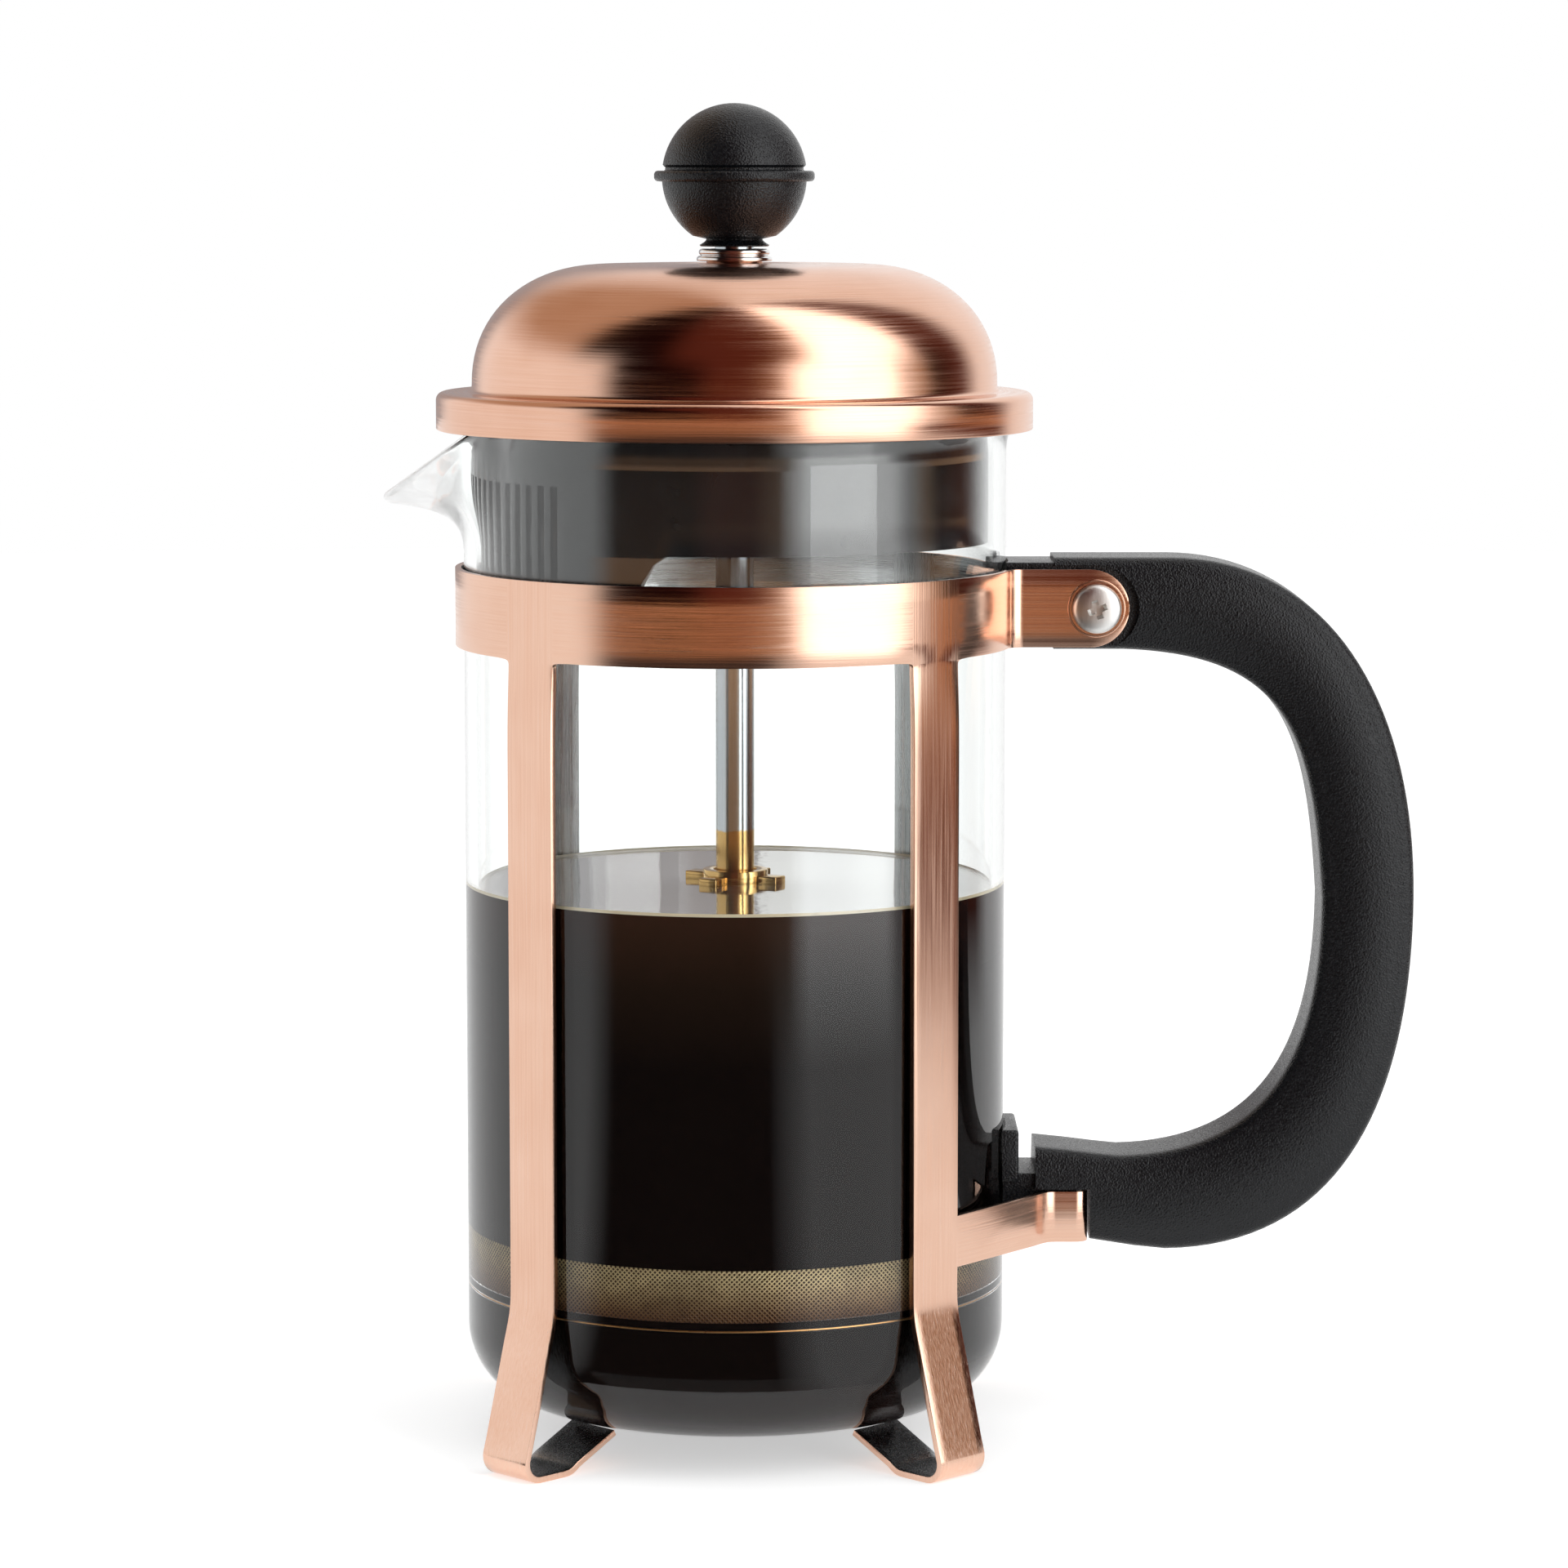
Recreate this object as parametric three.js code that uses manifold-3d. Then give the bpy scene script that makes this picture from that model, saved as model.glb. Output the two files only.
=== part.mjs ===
// French press with a strip-metal frame, a lipped glass, a domed lid and a pressing plunger.
// Millimetres. Z is up and the feet stand on z = 0. The spout points along -X, the handle along +X.
// Every sub-part is laid out round the pressing axis; the whole set is then moved along X once.
import * as THREE from 'three';
import * as BufferGeometryUtils from 'three/addons/utils/BufferGeometryUtils.js';
import Module from 'manifold-3d';

const wasm = await Module();
wasm.setup();

// ---------------------------------------------------------------- fits
const FIT = 0.3; // gap left wherever one piece rests on or wraps another
const RUN = 0.35; // radial clearance of a shaft in its hole

// ---------------------------------------------------------------- glass
const GLASS_OD = 70;
const GLASS_WALL = 1.6;
const GLASS_BASE_Z = 5;
const GLASS_BASE_T = 2.4;
const GLASS_RIM_Z = 133.1;
const GLASS_CORNER_R = 10;
const RIM_FLARE = 0.9;
const RIM_FLARE_H = 6;
const SPOUT_HALF_ANGLE = 0.56; // radians either side of -X
const SPOUT_OUT = 10.3; // how far the pouring lip stands out of the wall
const SPOUT_DIP = 10.5; // tip of the lip below the rim
const SPOUT_ROOT = 17.1; // start of the lip below the rim
const GLASS_R = GLASS_OD / 2;
const GLASS_IR = GLASS_R - GLASS_WALL;
const SPOUT_REACH = GLASS_R + SPOUT_OUT;
const SPOUT_TIP_Z = GLASS_RIM_Z - SPOUT_DIP;
const SPOUT_ROOT_Z = GLASS_RIM_Z - SPOUT_ROOT;
const GLASS_SEGMENTS = 60;

// ---------------------------------------------------------------- frame
const STRIP_T = 0.8;
const BAND_IR = GLASS_R + FIT;
const BAND_MID_Z = GLASS_RIM_Z - 24.4; // clear under the root of the lip
const BAND_H = 10;
const LEG_W = 8;
const LEG_MID_R = BAND_IR + STRIP_T / 2 + 0.2;
const LEG_SPLAY_Z = 20.7;
const FOOT_R = GLASS_R + 5.6; // outermost middle line of the foot
const FOOT_CURL_R = 2.2;
const FOOT_PAD = 4; // flat stretch that stands on the table
const FOOT_END_R = GLASS_R - 9.5; // inner end, under the flat of the base
const EAR_MID_Y = 6.5;
const EAR_END_X = GLASS_R + 15.6;
const EAR_BEND_R = 2.4;
const BRACE_Z = 26.2;
const BRACE_H = 6.6;
const BRACE_ELBOW_X = GLASS_R + 4.2;
const BRACE_ELBOW_Y = 8.2;
const BRACE_END_X = GLASS_R + 10.4;

// ---------------------------------------------------------------- handle
const HANDLE_REACH = GLASS_R + 52.8;
const HANDLE_T = 14;
const HANDLE_EDGE_R = 2;
const HANDLE_TOP_Z = BAND_MID_Z + 6.4;
const HANDLE_ARM_UNDER_Z = BAND_MID_Z - 5.4;
const HANDLE_MID_Z = 71;
const HANDLE_INNER_X = GLASS_R + 40.9;
const HANDLE_LOW_TOP_Z = 38.4;
const HANDLE_LOW_Z = 24.9;
const HANDLE_UPPER_X = GLASS_R + 6;
const HANDLE_LOWER_X = GLASS_R + 4;
const TONGUE_HALF_Y = EAR_MID_Y - STRIP_T / 2 - FIT;
const HEEL_TOP_Z = 40.8;
const SCREW_X = GLASS_R + 11.4;
const SCREW_R = 1.65;
const SCREW_HEAD_R = 3.15;
const SCREW_HEAD_H = 1.9;

// ---------------------------------------------------------------- lid
const ROD_R = 2.5;
const LID_OVER = 3.4; // skirt of the lid outside the glass wall
const LID_R = GLASS_R + LID_OVER;
const LID_T = 0.7;
const LID_SKIRT_Z = GLASS_RIM_Z - 1.9;
const LINER_GAP = 0.7; // easy fit of the guard in the glass
const LINER_R = GLASS_IR - LINER_GAP;
const LINER_T = 1.3;
const LINER_FLANGE_R = LID_R - LID_T - 2 * FIT;
const LINER_FLANGE_Z = GLASS_RIM_Z + FIT;
const LINER_FLANGE_T = 1.8;
const LID_FLAT_Z = LINER_FLANGE_Z + LINER_FLANGE_T + FIT + LID_T;
const DOME_R = LID_R - 4.6;
const DOME_H = 16.4;
const DOME_TOP_Z = LID_FLAT_Z + DOME_H;
const DOME_FLAT_R = 16.6;
const LINER_SHORT_Z = GLASS_RIM_Z - 15.9;
const LINER_LONG_Z = GLASS_RIM_Z - 26.1;
const LINER_LONG_ANGLE = 1.08; // radians either side of -X
const SLOT_COUNT = 25;
const SLOT_SPAN = 1.676; // radians across the whole grille
const SLOT_W = 1.15;
const SLOT_LOW_Z = LINER_LONG_Z + 3;
const SLOT_TOP_Z = LINER_FLANGE_Z - 8;
const BUSHING_WALL = 0.75;
const BUSHING_R = ROD_R + RUN + BUSHING_WALL;
const BUSHING_TOP_Z = DOME_TOP_Z + 1.85;
const BUSHING_FLANGE_R = BUSHING_R + 1.25;
const BUSHING_BEAD_R = BUSHING_R + 1;
const LID_NUT_AF = 10;
const LID_NUT_H = 2.9;

// ---------------------------------------------------------------- plunger
const KNOB_R = 9.3;
const KNOB_MID_Z = BUSHING_TOP_Z + 9.25;
const KNOB_FLANGE_R = KNOB_R + 1;
const KNOB_FLANGE_Z = KNOB_MID_Z - 0.65;
const KNOB_FLANGE_T = 1.35;
const KNOB_SEAM = 0.4;
const KNOB_NECK_R = ROD_R + 1.1;
const KNOB_FOOT_R = KNOB_NECK_R + 0.9;
const KNOB_NUT_AF = 2 * ROD_R + 2;
const KNOB_NUT_H = 3;
const COLLAR_Z = 72;
const COLLAR_H = 2.3;
const COLLAR_R = ROD_R + 1.75;
const LUG_R = COLLAR_R + 2.65;
const LUG_T = 1.4;
const LUG_W = 2.6;
const LUG_TURN = -2.112; // azimuth of the first lug

// ---------------------------------------------------------------- filter
const CROSS_Z = 19.5;
const CROSS_T = 0.8;
const CROSS_R = GLASS_IR - 3.4;
const MESH_T = 0.4;
const MESH_LIP_H = 7.6;
const MESH_R = GLASS_IR - FIT;
const PLATE_T = 0.7;
const SPRING_WIRE_R = 1.1;
const FILTER_NUT_H = 3.6;
const HUB_R = ROD_R + 2.5;
const HUB_H = 7;

// ================================================================ helpers
/** Closed manifold solid from any closed three.js geometry. */
function solid(geometry) {
  let g = geometry.clone();
  g.deleteAttribute('normal');
  g.deleteAttribute('uv');
  g = BufferGeometryUtils.mergeVertices(g, 1e-4);
  const position = g.getAttribute('position');
  const index = g.getIndex();
  const kept = [];
  let volume = 0;
  const a = new THREE.Vector3();
  const b = new THREE.Vector3();
  const c = new THREE.Vector3();
  for (let i = 0; i < index.count; i += 3) {
    const [p, q, r] = [index.getX(i), index.getX(i + 1), index.getX(i + 2)];
    if (p === q || q === r || r === p) continue;
    kept.push(p, q, r);
    a.fromBufferAttribute(position, p);
    b.fromBufferAttribute(position, q);
    c.fromBufferAttribute(position, r);
    volume += a.dot(b.cross(c));
  }
  if (volume < 0) {
    for (let i = 0; i < kept.length; i += 3) {
      [kept[i + 1], kept[i + 2]] = [kept[i + 2], kept[i + 1]];
    }
  }
  return new wasm.Manifold(
    new wasm.Mesh({
      numProp: 3,
      vertProperties: new Float32Array(position.array),
      triVerts: new Uint32Array(kept),
    }),
  );
}

/** three.js geometry of a manifold solid. */
function geometryOf(body) {
  const mesh = body.getMesh();
  const g = new THREE.BufferGeometry();
  const step = mesh.numProp;
  const count = mesh.vertProperties.length / step;
  const points = new Float32Array(count * 3);
  for (let i = 0; i < count; i += 1) {
    for (let k = 0; k < 3; k += 1) points[i * 3 + k] = mesh.vertProperties[i * step + k];
  }
  g.setAttribute('position', new THREE.BufferAttribute(points, 3));
  g.setIndex(new THREE.BufferAttribute(new Uint32Array(mesh.triVerts), 1));
  return g;
}

/** Body of revolution about Z from [radius, height] pairs. */
function turned(profile, segments = 36) {
  const points = profile.map(([r, z]) => new THREE.Vector2(r, z));
  const g = new THREE.LatheGeometry(points, segments);
  g.rotateX(Math.PI / 2);
  return solid(g);
}

/** Turned body with a hole: the profile closes on itself. */
function turnedRing(profile, segments = 36) {
  return turned([...profile, profile[0]], segments);
}

/** Plain cylinder about Z between two heights. */
function rod(radius, low, high, segments = 24) {
  return turned([[0, low], [radius, low], [radius, high], [0, high]], segments);
}

/** Plain tube about Z between two heights. */
function tube(inner, outer, low, high, segments = 24) {
  return turnedRing([[inner, low], [outer, low], [outer, high], [inner, high]], segments);
}

/** Box from its two corners. */
function block(low, high) {
  const size = high.map((v, i) => v - low[i]);
  const g = new THREE.BoxGeometry(...size);
  g.translate(...low.map((v, i) => v + size[i] / 2));
  return solid(g);
}

/** Right prism: an outline in the XY plane raised from one height to another. */
function prism(outline, low, high) {
  const shape = new THREE.Shape(outline.map(([x, y]) => new THREE.Vector2(x, y)));
  const g = new THREE.ExtrudeGeometry(shape, { depth: high - low, bevelEnabled: false });
  g.translate(0, 0, low);
  return solid(g);
}

/** Cylinder along Y through (x, z). */
function pin(radius, x, z, yLow, yHigh, segments = 24) {
  const g = new THREE.CylinderGeometry(radius, radius, yHigh - yLow, segments);
  g.translate(x, (yLow + yHigh) / 2, z);
  return solid(g);
}

/** Regular hexagon outline with the given width across its flats. */
function hexagon(acrossFlats, turn = 0) {
  const reach = acrossFlats / Math.sqrt(3);
  return Array.from({ length: 6 }, (_, i) => {
    const angle = turn + (i * Math.PI) / 3;
    return [reach * Math.cos(angle), reach * Math.sin(angle)];
  });
}

/** Points on an arc, both ends included. */
function arc(cx, cy, radius, from, to, steps) {
  return Array.from({ length: steps + 1 }, (_, i) => {
    const angle = from + ((to - from) * i) / steps;
    return [cx + radius * Math.cos(angle), cy + radius * Math.sin(angle)];
  });
}

/** Points on a cubic curve, the first one left out. */
function cubic(p0, p1, p2, p3, steps) {
  return Array.from({ length: steps }, (_, i) => {
    const t = (i + 1) / steps;
    const s = 1 - t;
    return [0, 1].map(
      (k) => s ** 3 * p0[k] + 3 * s * s * t * p1[k] + 3 * s * t * t * p2[k] + t ** 3 * p3[k],
    );
  });
}

/** Unit normals, to the left of the run, at each point of an open path. */
function leftNormals(path) {
  return path.map((point, i) => {
    const before = path[Math.max(i - 1, 0)];
    const after = path[Math.min(i + 1, path.length - 1)];
    const [dx, dy] = [after[0] - before[0], after[1] - before[1]];
    const length = Math.hypot(dx, dy);
    return [-dy / length, dx / length];
  });
}

/** Path moved sideways by a signed distance. */
function offset(path, distance) {
  const normals = leftNormals(path);
  return path.map(([x, y], i) => [x + normals[i][0] * distance, y + normals[i][1] * distance]);
}

/** Closed outline of a strip that follows an open path. */
function stripOutline(path, thickness) {
  return [...offset(path, thickness / 2), ...offset(path, -thickness / 2).reverse()];
}

/** Body turned about Z by an angle in radians. */
function spun(geometry, angle) {
  const g = geometry.clone();
  g.rotateZ(angle);
  return g;
}

// ================================================================ glass
/** Middle line of the plain wall, from the top of the base corner to the rim. */
function plainWall(steps) {
  const r = GLASS_R - GLASS_WALL / 2;
  const top = GLASS_RIM_Z - GLASS_WALL / 2;
  return Array.from({ length: steps + 1 }, (_, i) => {
    const z = SPOUT_ROOT_Z + ((top - SPOUT_ROOT_Z) * i) / steps;
    const t = Math.max(0, (z - (top - RIM_FLARE_H)) / RIM_FLARE_H);
    return [r + RIM_FLARE * t * t, z];
  });
}

/** Middle line of the wall in the plane of the pouring lip. */
function lipWall(steps) {
  const r = GLASS_R - GLASS_WALL / 2;
  const root = [r, SPOUT_ROOT_Z];
  const tip = [SPOUT_REACH - GLASS_WALL / 2, SPOUT_TIP_Z];
  return [root, ...cubic(root, [r, SPOUT_ROOT_Z + 5], [r + 4.5, SPOUT_TIP_Z - 0.6], tip, steps)];
}

/** How far a direction belongs to the pouring lip, 0 on the plain rim and 1 on -X. */
function lipShare(angle) {
  const away = Math.abs(Math.atan2(Math.sin(angle - Math.PI), Math.cos(angle - Math.PI)));
  if (away >= SPOUT_HALF_ANGLE) return 0;
  return Math.cos((away / SPOUT_HALF_ANGLE) * (Math.PI / 2)) ** 1.7;
}

/** Outer and inner faces of one wall line with a rounded rim, outer root to inner root. */
function wallFaces(path) {
  const half = GLASS_WALL / 2;
  const outer = offset(path, -half);
  const inner = offset(path, half).reverse();
  const end = path[path.length - 1];
  const [ox, oy] = outer[outer.length - 1];
  const start = Math.atan2(oy - end[1], ox - end[0]);
  const rim = arc(end[0], end[1], half, start, start + Math.PI, 3).slice(1, -1);
  return [...outer, ...rim, ...inner];
}

/** Beaker: straight glass wall, rounded base corner, drawn-out pouring lip. */
function glassBeaker() {
  const floorZ = GLASS_BASE_Z + GLASS_BASE_T;
  const cornerIn = GLASS_CORNER_R - GLASS_WALL;
  const centreR = GLASS_R - GLASS_CORNER_R;
  const low = [[0, GLASS_BASE_Z]];
  low.push(...arc(centreR, GLASS_BASE_Z + GLASS_CORNER_R, GLASS_CORNER_R, -Math.PI / 2, 0, 4));
  const high = [...arc(centreR, floorZ + cornerIn, cornerIn, 0, -Math.PI / 2, 3), [0, floorZ]];
  const steps = 5;
  const plain = wallFaces(plainWall(steps));
  const lip = wallFaces(lipWall(steps));
  const rings = [...low, ...plain, ...high].length;
  const positions = [];
  const put = (r, z, angle) => positions.push(r * Math.cos(angle), r * Math.sin(angle), z);
  for (let s = 0; s < GLASS_SEGMENTS; s += 1) {
    const angle = (2 * Math.PI * s) / GLASS_SEGMENTS;
    const share = lipShare(angle);
    for (const [r, z] of low) put(r, z, angle);
    plain.forEach(([r, z], i) => {
      put(r + (lip[i][0] - r) * share, z + (lip[i][1] - z) * share, angle);
    });
    for (const [r, z] of high) put(r, z, angle);
  }
  const faces = [];
  for (let s = 0; s < GLASS_SEGMENTS; s += 1) {
    const here = s * rings;
    const next = ((s + 1) % GLASS_SEGMENTS) * rings;
    for (let i = 0; i < rings - 1; i += 1) {
      faces.push(here + i, next + i, here + i + 1, here + i + 1, next + i, next + i + 1);
    }
  }
  const g = new THREE.BufferGeometry();
  g.setAttribute('position', new THREE.Float32BufferAttribute(positions, 3));
  g.setIndex(faces);
  return solid(g);
}

// ================================================================ frame
/** Cutter that rounds the free ends of both ears. */
function earCorners() {
  const x = EAR_END_X - BAND_H / 2;
  const square = block([x, -20, BAND_MID_Z - BAND_H], [x + BAND_H, 20, BAND_MID_Z + BAND_H]);
  return square.subtract(pin(BAND_H / 2, x, BAND_MID_Z, -21, 21, 28));
}

/** Band round the glass whose two ends turn outward into parallel ears. */
function frameBand() {
  const mid = BAND_IR + STRIP_T / 2;
  const bendY = EAR_MID_Y + EAR_BEND_R;
  const bendX = Math.sqrt((mid + EAR_BEND_R) ** 2 - bendY ** 2);
  const open = Math.atan2(bendY, bendX);
  const half = [
    ...arc(0, 0, mid, Math.PI, open, 26),
    ...arc(bendX, bendY, EAR_BEND_R, open + Math.PI, 1.5 * Math.PI, 5).slice(1),
    [EAR_END_X, EAR_MID_Y],
  ];
  const mirrored = half.map(([x, y]) => [x, -y]).reverse();
  const outline = stripOutline([...mirrored, ...half.slice(1)], STRIP_T);
  const strip = prism(outline, BAND_MID_Z - BAND_H / 2, BAND_MID_Z + BAND_H / 2);
  const holes = pin(SCREW_R + RUN, SCREW_X, BAND_MID_Z, -10, 10);
  return strip.subtract(earCorners()).subtract(holes);
}

/** Middle line of a leg in its own radius-height plane, from the band to the inner end. */
function legPath() {
  const lowZ = STRIP_T / 2;
  const curlX = FOOT_R - FOOT_CURL_R;
  const curlZ = lowZ + FOOT_CURL_R;
  const padX = curlX - FOOT_PAD;
  const endZ = GLASS_BASE_Z - FIT - STRIP_T / 2;
  return [
    [LEG_MID_R, BAND_MID_Z - BAND_H / 2 - FIT],
    [LEG_MID_R, LEG_SPLAY_Z + 2],
    [LEG_MID_R + 0.15, LEG_SPLAY_Z],
    [LEG_MID_R + 0.7, LEG_SPLAY_Z - 3],
    [FOOT_R - 0.5, curlZ + 2.2],
    ...arc(curlX, curlZ, FOOT_CURL_R, 0.15, -Math.PI / 2, 6),
    [padX, lowZ],
    [padX - 1.2, lowZ + 0.25],
    [FOOT_END_R + 1.4, endZ - 0.25],
    [FOOT_END_R, endZ],
  ];
}

/** One leg strip at the given azimuth. */
function leg(azimuth) {
  const outline = stripOutline(legPath(), STRIP_T);
  const shape = new THREE.Shape(outline.map(([x, z]) => new THREE.Vector2(x, z)));
  const g = new THREE.ExtrudeGeometry(shape, { depth: LEG_W, bevelEnabled: false });
  g.translate(0, 0, -LEG_W / 2);
  g.rotateX(Math.PI / 2);
  return solid(spun(g, azimuth));
}

/** Strip from both right-hand legs that loops through the lower end of the handle. */
function handleBrace() {
  const lean = Math.PI / 4;
  const out = LEG_W / 2 + FIT;
  const startX = LEG_MID_R * Math.cos(lean) + out * Math.sin(lean);
  const startY = LEG_MID_R * Math.sin(lean) - out * Math.cos(lean);
  const half = [
    [startX, startY],
    [startX + 0.8, startY - 0.85],
    [BRACE_ELBOW_X - 0.4, BRACE_ELBOW_Y + 0.6],
    [BRACE_ELBOW_X + 0.5, BRACE_ELBOW_Y - 0.75],
    [BRACE_ELBOW_X + 1.8, EAR_MID_Y],
    ...arc(BRACE_END_X - 1.2, EAR_MID_Y - 1.2, 1.2, Math.PI / 2, 0, 4),
  ];
  const mirrored = half.map(([x, y]) => [x, -y]).reverse();
  return prism(stripOutline([...half, ...mirrored], STRIP_T), BRACE_Z, BRACE_Z + BRACE_H);
}

// ================================================================ handle
/** Outline of the D in the XZ plane. */
function handleOutline() {
  const near = GLASS_R;
  const topBend = [near + 21, HANDLE_TOP_Z];
  const outer = [HANDLE_REACH, HANDLE_MID_Z];
  const lowBend = [near + 21, HANDLE_LOW_Z];
  const innerLow = [near + 15, HANDLE_LOW_TOP_Z - 1.2];
  const inner = [HANDLE_INNER_X, HANDLE_MID_Z];
  const innerTop = [near + 15, HANDLE_ARM_UNDER_Z];
  return [
    [HANDLE_UPPER_X, HANDLE_TOP_Z],
    topBend,
    ...cubic(topBend, [near + 41, HANDLE_TOP_Z], [HANDLE_REACH, HANDLE_TOP_Z - 18.1], outer, 12),
    ...cubic(outer, [HANDLE_REACH, HANDLE_LOW_Z + 21.1], [near + 45, HANDLE_LOW_Z + 0.3], lowBend, 12),
    [near + 11.2, HANDLE_LOW_Z + 1.3],
    [HANDLE_LOWER_X, HANDLE_LOW_Z + 1.6],
    [HANDLE_LOWER_X, HANDLE_LOW_TOP_Z],
    innerLow,
    ...cubic(innerLow, [near + 35.5, HANDLE_LOW_TOP_Z - 0.8], [HANDLE_INNER_X, HANDLE_LOW_TOP_Z + 13.6], inner, 11),
    ...cubic(inner, [near + 39.5, HANDLE_ARM_UNDER_Z - 10.3], [near + 36, HANDLE_ARM_UNDER_Z - 0.8], innerTop, 11),
    [HANDLE_UPPER_X, HANDLE_ARM_UNDER_Z],
  ];
}

/** D-shaped grip with rounded edges, lying between y = -T/2 and T/2. */
function handleGrip() {
  const shape = new THREE.Shape(handleOutline().map(([x, z]) => new THREE.Vector2(x, z)));
  const g = new THREE.ExtrudeGeometry(shape, {
    depth: HANDLE_T - 2 * HANDLE_EDGE_R,
    bevelEnabled: true,
    bevelThickness: HANDLE_EDGE_R,
    bevelSize: HANDLE_EDGE_R,
    bevelOffset: -HANDLE_EDGE_R,
    bevelSegments: 3,
  });
  g.translate(0, 0, -(HANDLE_T / 2 - HANDLE_EDGE_R));
  g.rotateX(Math.PI / 2);
  return solid(g);
}

/** Space round one ear, on the side of the handle given by sign. */
function earRecess(sign) {
  const near = TONGUE_HALF_Y;
  const [low, high] = sign > 0 ? [near, near + 5] : [-near - 5, -near];
  const radius = BAND_H / 2 + 0.5;
  const x = EAR_END_X - BAND_H / 2 + 0.8;
  const run = block([GLASS_R - 5, low, BAND_MID_Z - radius], [x, high, BAND_MID_Z + radius]);
  return run.add(pin(radius, x, BAND_MID_Z, low, high, 28));
}

/** Black moulded handle with its clamping tongue, lower tongue and heel. */
function handle() {
  const wide = TONGUE_HALF_Y;
  const braceTop = BRACE_Z + BRACE_H + FIT;
  const slotX = BRACE_END_X - STRIP_T / 2 - 2 * FIT;
  const endX = BRACE_END_X + STRIP_T / 2 + FIT;
  const low = HANDLE_LOW_Z + 1.6;
  let body = handleGrip();
  const near = GLASS_R;
  body = body.add(block([near - 1, -wide, HANDLE_ARM_UNDER_Z + 0.5], [near + 10, wide, HANDLE_TOP_Z - 0.6]));
  body = body.add(block([near - 1, -wide, low + 0.1], [near + 7, wide, 35]));
  body = body.add(block([near - 2, -wide - 0.7, 34], [near + 1.8, wide + 0.7, HEEL_TOP_Z]));
  body = body.subtract(earRecess(1)).subtract(earRecess(-1));
  body = body.subtract(block([near - 5, wide, low - 5], [endX, 12, braceTop]));
  body = body.subtract(block([near - 5, -12, low - 5], [endX, -wide, braceTop]));
  body = body.subtract(block([slotX, -12, low - 5], [endX, 12, braceTop]));
  body = body.subtract(pin(SCREW_R + RUN, SCREW_X, BAND_MID_Z, -10, 10));
  return body.subtract(rod(GLASS_R + FIT, 20, HANDLE_TOP_Z + 5, 144));
}

/** Pan-head screw through both ears, head on the -Y side. */
function handleScrew() {
  const seat = -(EAR_MID_Y + STRIP_T / 2 + FIT);
  const profile = [
    [0, 0],
    [SCREW_R, 0],
    [SCREW_R, -seat + 8.6],
    [SCREW_HEAD_R, -seat + 8.6],
    [SCREW_HEAD_R, -seat + 8.6 + SCREW_HEAD_H * 0.45],
    [SCREW_HEAD_R * 0.8, -seat + 8.6 + SCREW_HEAD_H * 0.85],
    [SCREW_HEAD_R * 0.42, -seat + 8.6 + SCREW_HEAD_H],
    [0, -seat + 8.6 + SCREW_HEAD_H],
  ];
  let body = turned(profile, 24);
  const top = -seat + 8.6 + SCREW_HEAD_H;
  body = body.subtract(block([-1.45, -0.32, top - 1.1], [1.45, 0.32, top + 1]));
  body = body.subtract(block([-0.32, -1.45, top - 1.1], [0.32, 1.45, top + 1]));
  const g = geometryOf(body);
  g.rotateZ(0.35);
  g.rotateX(Math.PI / 2);
  g.translate(SCREW_X, 8.6, BAND_MID_Z);
  return solid(g);
}

/** Domed cap nut on the +Y side. */
function handleNut() {
  const seat = EAR_MID_Y + STRIP_T / 2 + FIT;
  let body = prism(hexagon(6), 0, 2.6);
  body = body.add(turned([[0, 1], [2.7, 1], [2.7, 2.8], [2.2, 3.9], [1.2, 4.5], [0, 4.6]], 20));
  body = body.subtract(rod(SCREW_R + FIT, -1, 8.6 - seat + FIT, 16));
  const g = geometryOf(body);
  g.rotateX(-Math.PI / 2);
  g.translate(SCREW_X, seat, BAND_MID_Z);
  return solid(g);
}

// ================================================================ lid
/** Outer line of the lid shell, from the central hole to the lower edge of the skirt. */
function lidLine() {
  const rise = DOME_TOP_Z - LID_FLAT_Z;
  const run = DOME_R - DOME_FLAT_R;
  const crown = Array.from({ length: 7 }, (_, i) => {
    const angle = ((i + 1) / 7) * (Math.PI / 2);
    const across = Math.sin(angle) ** (2 / 2.15);
    const up = Math.max(Math.cos(angle), 0) ** (2 / 2.15);
    return [DOME_FLAT_R + run * across, LID_FLAT_Z + 0.9 + (rise - 0.9) * up];
  });
  return [
    [BUSHING_R + FIT, DOME_TOP_Z],
    [DOME_FLAT_R, DOME_TOP_Z - 0.1],
    ...crown,
    [DOME_R + 0.9, LID_FLAT_Z],
    ...arc(LID_R - 1.1, LID_FLAT_Z - 1.1, 1.1, Math.PI / 2, 0, 2),
    [LID_R, LID_SKIRT_Z],
  ];
}

/** Thin domed shell with a flat shoulder and a short skirt. */
function lidDome() {
  const outer = lidLine();
  return turnedRing([...outer, ...offset(outer, -LID_T).reverse()], 48);
}

/** Wedge about Z, used to keep or cut a range of directions round -X. */
function wedge(halfAngle, low, high) {
  const reach = 60;
  const points = [[0, 0], ...arc(0, 0, reach, Math.PI - halfAngle, Math.PI + halfAngle, 10)];
  return prism(points, low, high);
}

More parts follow.
